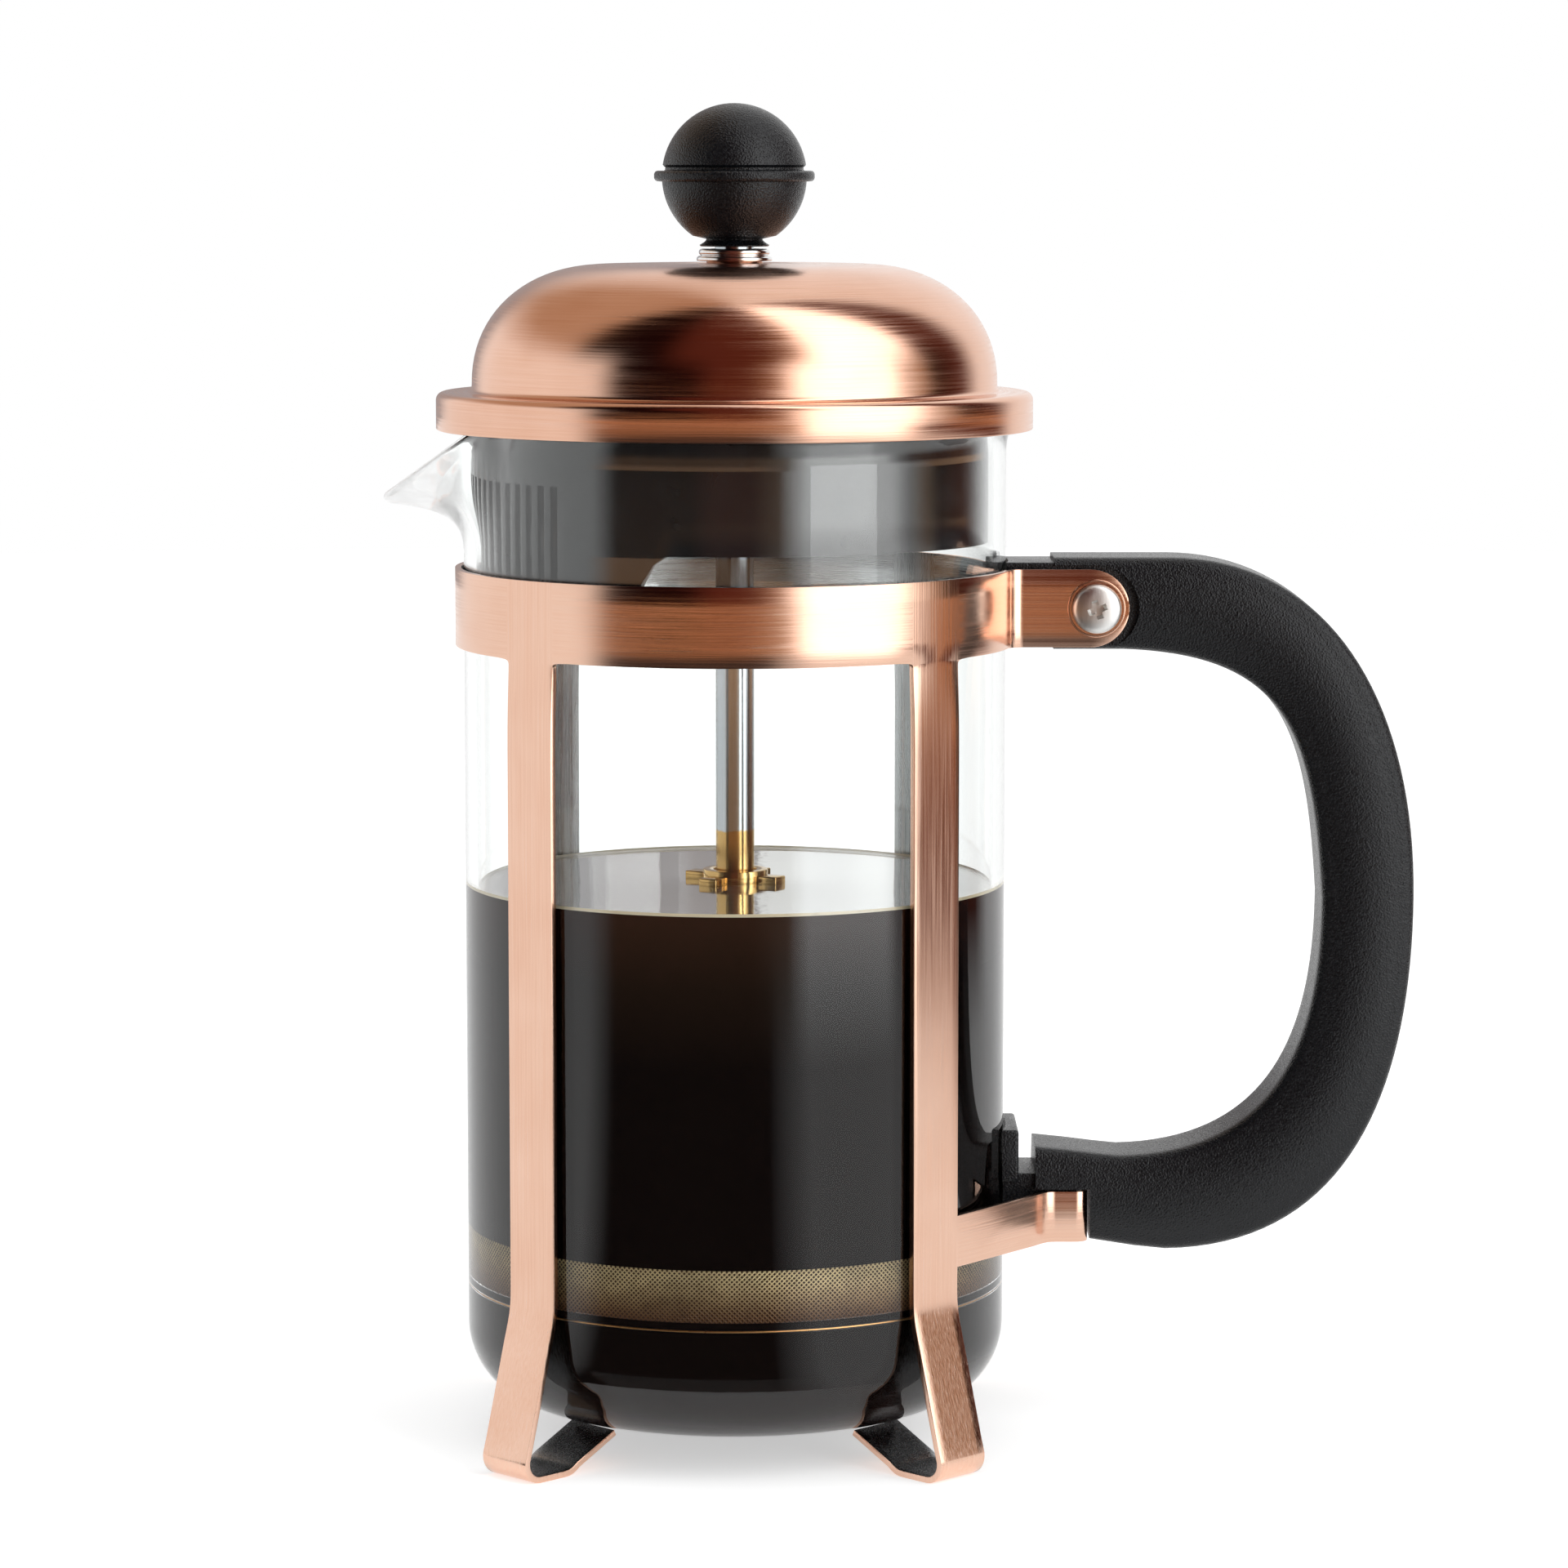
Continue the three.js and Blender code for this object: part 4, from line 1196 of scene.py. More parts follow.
    @staticmethod
    def _ordered(start: bmesh.types.BMVert, edges: list, second: Vector) -> list:
        """Corners of a closed ring in order.

        Args:
            start: the corner to begin with.
            edges: the ring's edges.
            second: where the next corner stands.

        Returns:
            The corners.
        """
        ring = set(edges)
        around = [e.other_vert(start) for e in start.link_edges if e in ring]
        order = [start, min(around, key=lambda v: (v.co - second).length)]
        while len(order) < len(edges):
            here, before = order[-1], order[-2]
            ahead = [e.other_vert(here) for e in here.link_edges if e in ring]
            order.append(next(v for v in ahead if v != before))
        return order

    def _across(self, radius: float, x: float, z: float, low: float, high: float, steps: int = 64) -> bmesh.types.BMesh:
        """Solid round bar along Y."""
        bm = bmesh.new()
        bmesh.ops.create_cone(
            bm,
            cap_ends=True,
            segments=steps,
            radius1=radius,
            radius2=radius,
            depth=high - low,
            matrix=Matrix.Translation((x, (low + high) / 2, z)) @ Matrix.Rotation(math.pi / 2, 4, "X"),
        )
        return bm

    def moulding(self) -> bmesh.types.BMesh:
        """Grip, tongues and heel, cut to take the ears and the brace."""
        a = self.axis_x
        t = self.tongue_y
        body = self.grip()
        parts = [
            slab((a + 34.0 * MM, -t, 103.8 * MM), (a + 45.0 * MM, t, 114.5 * MM), 0.3 * MM),
            slab((a + 34.0 * MM, -t, 26.6 * MM), (a + 42.0 * MM, t, 35.0 * MM), 0.3 * MM),
            slab((a + 33.0 * MM, -t - 0.7 * MM, 34.0 * MM), (a + 36.8 * MM, t + 0.7 * MM, 40.8 * MM), 0.4 * MM),
        ]
        for part in parts:
            body = combine(body, part, Cut.ADD)
        screw_x = a + self.screw_x
        for side in (-1.0, 1.0):
            low, high = sorted((side * (t - self.skim), side * self.cut_y))
            recess = self._across(self.ear_r, screw_x, self.screw_z, low, high)
            for vert in recess.verts:
                if vert.co.x < screw_x - self.skim:
                    vert.co.x = a + self.cut_x
            body = combine(body, recess, Cut.REMOVE)
            cheek = slab((a + self.cut_x, low, self.cheek_low), (a + self.cheek_x, high, self.cheek_top))
            body = combine(body, cheek, Cut.REMOVE)
        near, far = (a + self.loop_x, -self.cut_y, self.cheek_low), (a + self.cheek_x, self.cut_y, self.cheek_top)
        body = combine(body, slab(near, far), Cut.REMOVE)
        hole = self._across(self.screw_hole_r, screw_x, self.screw_z, -10 * MM, 10 * MM, 32)
        body = combine(body, hole, Cut.REMOVE)
        low, high = 15 * MM, 122 * MM
        glass = turned([(0.0, low), (self.glass_r, low), (self.glass_r, high), (0.0, high)], a, 192)
        return combine(body, glass, Cut.REMOVE)

    def screw(self) -> bmesh.types.BMesh:
        """Pan-head screw with a cross recess, its head towards -Y."""
        seat, end = 7.2 * MM, 8.6 * MM
        r, rise = 3.15 * MM, 1.9 * MM
        top = seat + rise
        brow = (r, seat + 0.75 * MM)
        crown = bezier(brow, (r - 0.05 * MM, seat + 1.5 * MM), (r * 0.78, top - 0.12 * MM), (0.9 * MM, top), 8)
        shank = [(0.0, -end), (1.65 * MM, -end), (1.65 * MM, seat), (r, seat)]
        bm = turned([*shank, brow, *crown, (0.0, top)], 0.0, 64)
        long, thin = self.blade
        for turn in (self.screw_turn, self.screw_turn + math.pi / 2):
            blade = slab((-long, -thin, top - self.blade_depth), (long, thin, top + 1 * MM))
            for vert in blade.verts:
                if vert.co.z < top:
                    vert.co.x *= 0.55
            bmesh.ops.rotate(blade, cent=(0, 0, 0), matrix=Matrix.Rotation(turn, 3, "Z"), verts=blade.verts)
            bm = combine(bm, blade, Cut.REMOVE)
        turn = Matrix.Rotation(math.pi / 2, 4, "X")
        place = Matrix.Translation((self.axis_x + self.screw_x, 0.0, self.screw_z))
        bmesh.ops.transform(bm, matrix=place @ turn, verts=bm.verts)
        return bm

    def cap_nut(self) -> bmesh.types.BMesh:
        """Hexagonal cap nut towards +Y."""
        bm = bmesh.new()
        bmesh.ops.create_cone(
            bm,
            cap_ends=True,
            segments=6,
            radius1=self.nut_r,
            radius2=self.nut_r,
            depth=2.6 * MM,
            matrix=Matrix.Translation((0.0, 0.0, 8.5 * MM)),
        )
        soften(bm, 0.22 * MM, 2)
        cap = arc(mm(0.0, 9.6), self.cap_r, 0.0, math.pi / 2 - 0.02, 10)
        absorb(bm, turned([mm(0.0, 9.0), (self.cap_r, 9.0 * MM), *cap, mm(0.0, 12.3)], 0.0, 48))
        turn = Matrix.Rotation(-math.pi / 2, 4, "X")
        place = Matrix.Translation((self.axis_x + self.screw_x, 0.0, self.screw_z))
        bmesh.ops.scale(bm, vec=(1.0, 1.0, 0.93), space=Matrix.Translation((0, 0, -7.2 * MM)), verts=bm.verts)
        bmesh.ops.transform(bm, matrix=place @ turn, verts=bm.verts)
        return bm

    def build(self, finishes: Finishes) -> None:
        """Make the handle and its fasteners.

        Args:
            finishes: where the finishes come from.
        """
        shown("handle_moulding", self.moulding(), finishes.grained, "frame", ["handle"], sharp=0.55)
        shown("cross_screw", self.screw(), finishes.zinc, "frame", ["handle_screw"], sharp=0.5)
        shown("cap_nut", self.cap_nut(), finishes.chrome, "frame", ["handle_nut"], sharp=0.5)


@dataclass
class Beaker:
    """Blown glass with a drawn lip, and the coffee in it."""

    axis_x: float
    outer_r: float = 35.0 * MM
    wall: float = 1.6 * MM
    base_z: float = 5.0 * MM
    base: float = 2.4 * MM
    rim_z: float = 133.1 * MM
    corner: float = 10.0 * MM
    flare: float = 0.9 * MM
    flare_rise: float = 3.8 * MM
    lip_reach: float = 45.3 * MM
    lip_z: float = 122.6 * MM
    lip_root_z: float = 116.0 * MM
    lip_half_angle: float = 0.56
    coffee_z: float = 72.6 * MM
    wetting: float = 0.04 * MM

    def _plain(self, z: float) -> float:
        """Radius of the wall's middle at a height on the plain side."""
        top = self.rim_z - self.wall / 2
        t = max(0.0, (z - (top - self.flare_rise)) / self.flare_rise)
        return self.outer_r - self.wall / 2 + self.flare * t * t

    def _lip_line(self, share: float) -> tuple[Vector, Vector]:
        """Middle of the wall and its direction along the lip.

        Args:
            share: 0 at the root of the lip and 1 at its tip.

        Returns:
            The point and the unit direction, as radius and height.
        """
        r = self.outer_r - self.wall / 2
        a = Vector((r, self.lip_root_z))
        b = Vector((r, self.lip_root_z + 5 * MM))
        c = Vector((r + 4.5 * MM, self.lip_z - 0.6 * MM))
        d = Vector((self.lip_reach - self.wall / 2, self.lip_z))
        s = 1 - share
        point = a * s**3 + b * (3 * s * s * share) + c * (3 * s * share * share) + d * share**3
        way = (b - a) * (s * s) + (c - b) * (2 * s * share) + (d - c) * (share * share)
        return point, way.normalized()

    def _draw_lip(self, bm: bmesh.types.BMesh) -> None:
        """Pull the rim out into the pouring lip."""
        top = self.rim_z - self.wall / 2
        for vert in bm.verts:
            if vert.co.z <= self.lip_root_z:
                continue
            x, y = vert.co.x - self.axis_x, vert.co.y
            away = abs(math.atan2(y, -x))
            if away >= self.lip_half_angle:
                continue
            weight = math.cos(away / self.lip_half_angle * math.pi / 2) ** 1.7
            r, z = math.hypot(x, y), vert.co.z
            line_z = min(z, top)
            share = (line_z - self.lip_root_z) / (top - self.lip_root_z)
            middle, way = self._lip_line(share)
            out, along = r - self._plain(line_z), z - line_z
            lip_r = middle.x + way.y * out + way.x * along
            lip_z = middle.y - way.x * out + way.y * along
            new_r = r + (lip_r - r) * weight
            vert.co.x = self.axis_x + x / r * new_r
            vert.co.y = y / r * new_r
            vert.co.z = z + (lip_z - z) * weight

    def glass(self) -> bmesh.types.BMesh:
        """Closed glass wall with its lip."""
        c, inner_c = self.corner, self.corner - self.wall
        floor = self.base_z + self.base
        top = self.rim_z - self.wall / 2
        half = self.wall / 2
        low_r = self.outer_r - c
        outer = [(0.0, self.base_z + 0.5 * MM), (low_r * 0.6, self.base_z + 0.35 * MM), (low_r * 0.86, self.base_z)]
        outer += arc((low_r, self.base_z + c), c, -math.pi / 2, 0.0, 14)
        rises = [self.base_z + c + (self.lip_root_z - self.base_z - c) * i / 6 for i in range(1, 7)]
        steps = [self.lip_root_z + (top - self.lip_root_z) * i / 14 for i in range(1, 15)]
        outer += [(self._plain(z) + half, z) for z in [*rises, *steps]]
        rim = arc((self._plain(top), top), half, 0.0, math.pi, 8)[1:-1]
        inner = [(self._plain(z) - half, z) for z in reversed([*rises, *steps])]
        inner += arc((low_r, floor + inner_c), inner_c, 0.0, -math.pi / 2, 12)
        bm = turned([*outer, *rim, *inner, (0.0, floor)], self.axis_x, 160)
        self._draw_lip(bm)
        return bm

    def coffee(self) -> bmesh.types.BMesh:
        """Coffee up to its surface, with grooves that leave room for the edge of the filter."""
        r = self.outer_r - self.wall + self.wetting
        inner_c = self.corner - self.wall + self.wetting
        floor = self.base_z + self.base - self.wetting
        low, high = (corner.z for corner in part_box("filter_mesh"))
        round_hem = (low - 0.56 * MM, low - 0.14 * MM, 0.42 * MM)
        round_lip = (low + 0.75 * MM, high - 0.2 * MM, 0.7 * MM)
        profile = [(0.0, floor)]
        profile += arc((r - inner_c, floor + inner_c), inner_c, -math.pi / 2, 0.0, 12)
        for start, end, depth in (round_hem, round_lip):
            profile += [(r, start), (r - depth, start + 0.04 * MM), (r - depth, end - 0.04 * MM), (r, end)]
        profile += [(r, self.coffee_z), (0.0, self.coffee_z)]
        return turned(profile, self.axis_x, 128)

    def film(self) -> bmesh.types.BMesh:
        """Skin of the coffee, drawn up a little at the glass and the rod."""
        r, z = self.outer_r - self.wall + 0.02 * MM, self.coffee_z
        under = z - 0.2 * MM
        profile = [(2.45 * MM, under), (r, under), (r, z + 0.4 * MM)]
        edge = [(r - back * MM, z + up * MM) for back, up in ((0.0, 0.4), (0.3, 0.14), (0.7, 0.05), (1.6, 0.05))]
        profile += [*bezier(*edge, 5), (r - 2.0 * MM, z + 0.05 * MM)]
        profile += [(at * MM, z + up * MM) for at, up in ((3.7, 0.05), (3.2, 0.08), (2.45, 0.35))]
        return turned(profile, self.axis_x, 128)

    def build(self, finishes: Finishes) -> None:
        """Make the glass and the coffee.

        Args:
            finishes: where the finishes come from.
        """
        shown("glass_wall", self.glass(), finishes.glass, "beaker", ["glass_beaker"], sharp=1.2)
        shown("coffee", self.coffee(), finishes.coffee, "beaker", sharp=0.8)
        shown("coffee_film", self.film(), finishes.film, "beaker", sharp=0.8)


@dataclass
class Lid:
    """Copper dome, black splash guard with its pouring slots, and the guide bushing."""

    axis_x: float
    rim_r: float = 38.4 * MM
    sheet: float = 0.7 * MM
    skirt_z: float = 131.2 * MM
    shoulder_z: float = 136.2 * MM
    dome_r: float = 33.8 * MM
    dome_z: float = 152.6 * MM
    flat_r: float = 16.6 * MM
    fullness: float = 2.15
    guard_r: float = 32.7 * MM
    guard_wall: float = 1.3 * MM
    flange_r: float = 37.1 * MM
    flange_z: float = 133.4 * MM
    flange: float = 1.8 * MM
    boss_r: float = 6.1 * MM
    hole_r: float = 3.9 * MM
    short_z: float = 117.2 * MM
    long_z: float = 107.0 * MM
    long_angle: float = 1.08
    ramp_angle: float = 0.24
    slots: int = 25
    slot_span: float = 1.676
    slot_width: float = 1.15 * MM
    slot_low: float = 110.0 * MM
    slot_top: float = 125.4 * MM

    def dome(self) -> bmesh.types.BMesh:
        """Outer face of the dome, shoulder and skirt as a sheet."""
        rise, run = self.dome_z - self.shoulder_z, self.dome_r - self.flat_r
        line = [(self.hole_r, self.dome_z), (10 * MM, self.dome_z - 0.02 * MM), (self.flat_r, self.dome_z - 0.12 * MM)]
        for i in range(1, 23):
            angle = i / 22 * math.pi / 2
            across = math.sin(angle) ** (2 / self.fullness)
            up = max(math.cos(angle), 0.0) ** (2 / self.fullness)
            line.append((self.flat_r + run * across, self.shoulder_z + 0.9 * MM + (rise - 1.02 * MM) * up))
        hollow = ((0.0, 0.9), (0.0, 0.25), (0.3, 0.0), (1.0, 0.0))
        line += bezier(*((self.dome_r + out * MM, self.shoulder_z + up * MM) for out, up in hollow), 5)
        line += arc((self.rim_r - 1.0 * MM, self.shoulder_z - 1.0 * MM), 1.0 * MM, math.pi / 2, 0.0, 7)
        line.append((self.rim_r, self.skirt_z + 0.2 * MM))
        bm = turned_sheet(line, self.axis_x, 160)
        if max(bm.faces, key=lambda f: f.calc_center_median().z).normal.z < 0:
            bmesh.ops.reverse_faces(bm, faces=bm.faces)
        return bm

    def _column(self, bm: bmesh.types.BMesh, edges: list, angle: float, steps: int) -> tuple[list, list]:
        """Turn the guard's last column on, and give its new edges and faces."""
        before = set(bm.faces)
        last = swing(bm, [*corners(edges), *edges], self.axis_x, angle, steps)
        return last, [f for f in bm.faces if f not in before]

    def guard(self) -> bmesh.types.BMesh:
        """Skirt of the splash guard as a sheet with open slots."""
        r = self.guard_r
        heights = [self.long_z, self.slot_low, (self.slot_low + self.short_z) / 2, self.short_z]
        heights += [(self.short_z + self.slot_top) / 2, self.slot_top, 129.5 * MM, self.flange_z + 0.4 * MM]
        start = math.pi - self.slot_span / 2 - self.slot_width / r / 2
        way = Vector((math.cos(start), math.sin(start), 0.0)) * r
        bm = chain([Vector((self.axis_x + way.x, way.y, z)) for z in heights])
        edges = bm.edges[:]
        pitch = self.slot_span / (self.slots - 1)
        open_angle = self.slot_width / r
        cut: list = []
        for i in range(self.slots):
            edges, faces = self._column(bm, edges, open_angle, 2)
            cut += [f for f in faces if self.slot_low < f.calc_center_median().z < self.slot_top]
            if i < self.slots - 1:
                edges, _ = self._column(bm, edges, pitch - open_angle, 2)
        rest = math.tau - self.slot_span - open_angle
        edges, _ = self._column(bm, edges, rest, 110)
        bmesh.ops.delete(bm, geom=cut, context="FACES")
        bmesh.ops.remove_doubles(bm, verts=bm.verts, dist=SAME)
        middles = {f: f.calc_center_median() for f in bm.faces}
        long_end = self.long_angle + self.ramp_angle
        away = [f for f, co in middles.items() if self._off(co) > long_end and co.z < self.short_z]
        bmesh.ops.delete(bm, geom=away, context="FACES")
        for vert in bm.verts:
            if vert.co.z < self.short_z - SAME:
                share = min(1.0, max(0.0, (self._off(vert.co) - self.long_angle) / self.ramp_angle))
                smooth = share * share * (3 - 2 * share)
                vert.co.z = self.short_z - (self.short_z - vert.co.z) * max(1 - smooth, 0.02)
        tidy(bm)
        side = max(bm.faces, key=lambda f: f.calc_center_median().x)
        if side.normal.x < 0:
            bmesh.ops.reverse_faces(bm, faces=bm.faces)
        return bm

    def _off(self, co: Vector) -> float:
        """Angle of a point away from the lip's direction."""
        return abs(math.atan2(co.y, -(co.x - self.axis_x)))

    def plate(self) -> bmesh.types.BMesh:
        """Flange of the splash guard with its boss up to the dome."""
        low, top, under = self.flange_z, self.flange_z + self.flange, self.dome_z - self.sheet - 0.4 * MM
        profile = [(self.hole_r, low), (self.flange_r, low), (self.flange_r, top)]
        profile += [(self.boss_r, top), (self.boss_r, under), (self.hole_r, under)]
        return turned(profile, self.axis_x, 128, 0.25 * MM)

    def bushing(self) -> bmesh.types.BMesh:
        """Flanged bushing with a rolled bead."""
        bottom, top = (corner.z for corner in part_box("lid_bushing"))
        seat = self.dome_z + 0.3 * MM
        profile = [(2.85 * MM, bottom), (3.6 * MM, bottom), (3.6 * MM, seat)]
        profile += [(r * MM, seat + up * MM) for r, up in ((4.85, 0.0), (4.85, 0.42), (4.6, 0.62), (4.3, 0.7))]
        profile += arc((4.15 * MM, seat + 1.12 * MM), 0.43 * MM, -0.95, math.pi / 2, 9)
        profile += [(3.2 * MM, top), (2.85 * MM, top - 0.25 * MM)]
        return turned(profile, self.axis_x, 96, 0.08 * MM)

    def build(self, finishes: Finishes) -> None:
        """Make the lid.

        Args:
            finishes: where the finishes come from.
        """
        shown(
            "lid_shell_dome",
            self.dome(),
            finishes.copper_turned,
            "lid_shell",
            ["lid_dome"],
            sharp=0.6,
            wall=self.sheet,
            rim=0.2 * MM,
        )
        shown(
            "splash_guard",
            self.guard(),
            finishes.gloss,
            "lid_shell",
            ["lid_liner"],
            sharp=0.6,
            wall=self.guard_wall,
            rim=0.16 * MM,
        )
        shown("guard_plate", self.plate(), finishes.gloss, "lid_shell")
        shown("guide_bushing", self.bushing(), finishes.chrome, "lid_core", ["lid_bushing"], sharp=0.6)


@dataclass
class Plunger:
    """Knob, rod, stop collar and filter."""

    axis_x: float
    rod_r: float = 2.5 * MM
    hole_r: float = 2.8 * MM
    well_r: float = 4.34 * MM
    knob_r: float = 9.3 * MM
    knob_z: float = 163.7 * MM
    seam_r: float = 10.3 * MM
    seam_low: float = 163.05 * MM
    seam: float = 1.35 * MM
    groove: float = 0.4 * MM
    collar_r: float = 4.25 * MM
    lug_r: float = 6.9 * MM
    lug_y: float = 1.3 * MM
    lug_turn: float = -2.112
    lip_r: float = 33.43 * MM
    cloth_wall: float = 0.35 * MM
    hem_wire: float = 0.16 * MM
    coil_wire: float = 0.17 * MM
    coil_turns: int = 72

    def _ball(self, low: float, high: float, steps: int) -> list[Point]:
        """Radius and height on the ball between two heights."""
        start = math.asin((low - self.knob_z) / self.knob_r)
        end = math.asin((high - self.knob_z) / self.knob_r)
        return arc((0.0, self.knob_z), self.knob_r, start, end, steps)

    def knob_lower(self) -> bmesh.types.BMesh:
        """Cup, neck and seam flange."""
        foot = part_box("knob_lower")[0].z
        top = self.seam_low + self.seam
        neck = self._ball(foot + 1.35 * MM, self.seam_low - 0.05 * MM, 16)
        profile = [(self.hole_r, foot), (4.35 * MM, foot), (4.5 * MM, foot + 0.18 * MM)]
        hollow = ((4.5, 0.18), (3.9, 0.5), (3.6, 0.75), (3.62, 0.95))
        profile += bezier(*((r * MM, foot + up * MM) for r, up in hollow), 5)
        profile += neck
        profile += [(self.seam_r - 0.35 * MM, self.seam_low)]
        profile += arc((self.seam_r - 0.5 * MM, self.seam_low + 0.5 * MM), 0.5 * MM, -1.1, 0.0, 4)
        profile += arc((self.seam_r - 0.5 * MM, top - 0.5 * MM), 0.5 * MM, 0.0, math.pi / 2, 5)
        step, shut = self.knob_r - 0.42 * MM, top + self.groove + 0.02 * MM
        profile += [(step + 0.15 * MM, top), (step, top + 0.12 * MM), (step, shut)]
        profile += [(self.well_r, shut), (self.well_r, top - 2.8 * MM), (self.hole_r, top - 2.8 * MM)]
        return turned(profile, self.axis_x, 96)

    def knob_upper(self) -> bmesh.types.BMesh:
        """Cap of the knob, stepped in at the seam."""
        low = self.seam_low + self.seam + self.groove
        profile = [(0.0, low + 3.2 * MM), (self.well_r, low + 2.4 * MM), (self.well_r, low)]
        profile += [(self.knob_r - 0.55 * MM, low), (self.knob_r - 0.3 * MM, low + 0.12 * MM)]
        profile += self._ball(low + 0.35 * MM, self.knob_z + self.knob_r * 0.99999, 18)
        profile[-1] = (0.0, self.knob_z + self.knob_r)
        return turned(profile, self.axis_x, 96)

    def rod(self) -> bmesh.types.BMesh:
        """Drawn steel rod."""
        low, high = (corner.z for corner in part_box("plunger_rod"))
        profile = [(0.0, low), (self.rod_r, low)]
        profile += [(self.rod_r, low + (high - low) * i / 12) for i in range(1, 13)]
        return turned([*profile, (0.0, high)], self.axis_x, 64, 0.35 * MM)

    def collar(self) -> bmesh.types.BMesh:
        """Stop collar with four lugs."""
        low, high = (corner.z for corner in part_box("stop_collar"))
        profile = [(self.hole_r, low), (self.collar_r, low), (self.collar_r, high), (self.hole_r, high)]
        bm = turned(profile, self.axis_x, 64, 0.15 * MM)
        for i in range(4):
            root, tip = (3.4 * MM, -self.lug_y, low + 0.3 * MM), (self.lug_r, self.lug_y, low + 1.7 * MM)
            lug = slab(root, tip, 0.2 * MM)
            turn = Matrix.Rotation(self.lug_turn + i * math.pi / 2, 4, "Z")
            bmesh.ops.transform(lug, matrix=Matrix.Translation((self.axis_x, 0, 0)) @ turn, verts=lug.verts)
            absorb(bm, lug)
        return bm

    def cloth(self) -> bmesh.types.BMesh:
        """Mesh disc with its edge turned up."""
        low, high = (corner.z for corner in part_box("filter_mesh"))
        r, t, bend = self.lip_r, self.cloth_wall, 1.1 * MM
        profile = [(self.hole_r, low), (r - bend, low), *arc((r - bend, low + bend), bend, -math.pi / 2, 0.0, 6)[1:]]
        profile += [(r, high - 0.15 * MM), (r - t / 2, high), (r - t, high - 0.15 * MM), (r - t, low + 1.2 * MM)]
        profile += [(r - t - 0.25 * MM, low + t + 0.25 * MM), (r - t - 0.9 * MM, low + t), (self.hole_r, low + t)]
        return turned(profile, self.axis_x, 128)

    def hem(self) -> bmesh.types.BMesh:
        """Wire that lies under the turned edge of the mesh disc."""
        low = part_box("filter_mesh")[0].z
        wire = arc((self.lip_r - self.hem_wire, low - 0.35 * MM), self.hem_wire, 0.0, math.tau, 10)[:-1]
        return turned(wire, self.axis_x, 160)

    def coil(self) -> bmesh.types.BMesh:
        """Wire coil wound round the edge of the plate."""
        low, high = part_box("filter_spring")
        thick = high.z - low.z
        ring = (high.x - low.x) / 2 - thick / 2
        wire, turns, steps = self.coil_wire, self.coil_turns, 14
        radius = thick / 2 - wire
        curve = bpy.data.curves.new("coil", "CURVE")
        curve.dimensions = "3D"
        curve.bevel_depth = wire
        curve.bevel_resolution = 1
        line = curve.splines.new("POLY")
        line.points.add(turns * steps - 1)
        for i, point in enumerate(line.points):
            angle = math.tau * i / (turns * steps)
            wind = math.tau * i / steps
            r = ring + radius * math.cos(wind)
            point.co = (
                self.axis_x + r * math.cos(angle),
                r * math.sin(angle),
                (low.z + high.z) / 2 + radius * math.sin(wind),
                1.0,
            )
        line.use_cyclic_u = True
        obj = in_scene("coil", curve)
        mesh = bpy.data.meshes.new_from_object(obj.evaluated_get(bpy.context.evaluated_depsgraph_get()))
        bpy.data.objects.remove(obj)
        bpy.data.curves.remove(curve)
        bm = bmesh.new()
        bm.from_mesh(mesh)
        bpy.data.meshes.remove(mesh)
        tidy(bm)
        return bm

    def build(self, finishes: Finishes) -> None:
        """Make the plunger.

        Args:
            finishes: where the finishes come from.
        """
        grained = finishes.grained
        shown("knob_cup", self.knob_lower(), grained, "plunger", ["knob_lower"], sharp=0.6)
        shown("knob_cap", self.knob_upper(), grained, "plunger", ["knob_upper"], sharp=0.6)
        shown("rod", self.rod(), finishes.drawn, "plunger", ["plunger_rod"], sharp=0.8)
        shown("collar", self.collar(), finishes.drawn, "plunger", ["stop_collar"], sharp=0.6)
        shown("cloth_disc", self.cloth(), finishes.cloth, "plunger", ["filter_mesh"], sharp=0.9)
        shown("mesh_hem", self.hem(), finishes.stained, "plunger", sharp=1.2)
        shown("edge_coil", self.coil(), finishes.drawn, "plunger", ["filter_spring"], sharp=1.2)


def dress_kept_nodes(nodes: dict[str, bpy.types.Object], finishes: Finishes) -> None:
    """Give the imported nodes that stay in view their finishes.

    Args:
        nodes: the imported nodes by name.
        finishes: where the finishes come from.
    """
    kept = {
        "lid_nut": finishes.sheet,
        "knob_nut": finishes.sheet,
        "filter_hub": finishes.drawn,
        "filter_spiral_plate": finishes.sheet,
        "filter_cross_plate": finishes.sheet,
        "filter_nut": finishes.drawn,
    }
    for name, material in kept.items():
        nodes[name].data.materials.clear()
        nodes[name].data.materials.append(material)
        LOG.info("%s: kept, dressed in %s", name, material.name)


# ---------------------------------------------------------------- studio


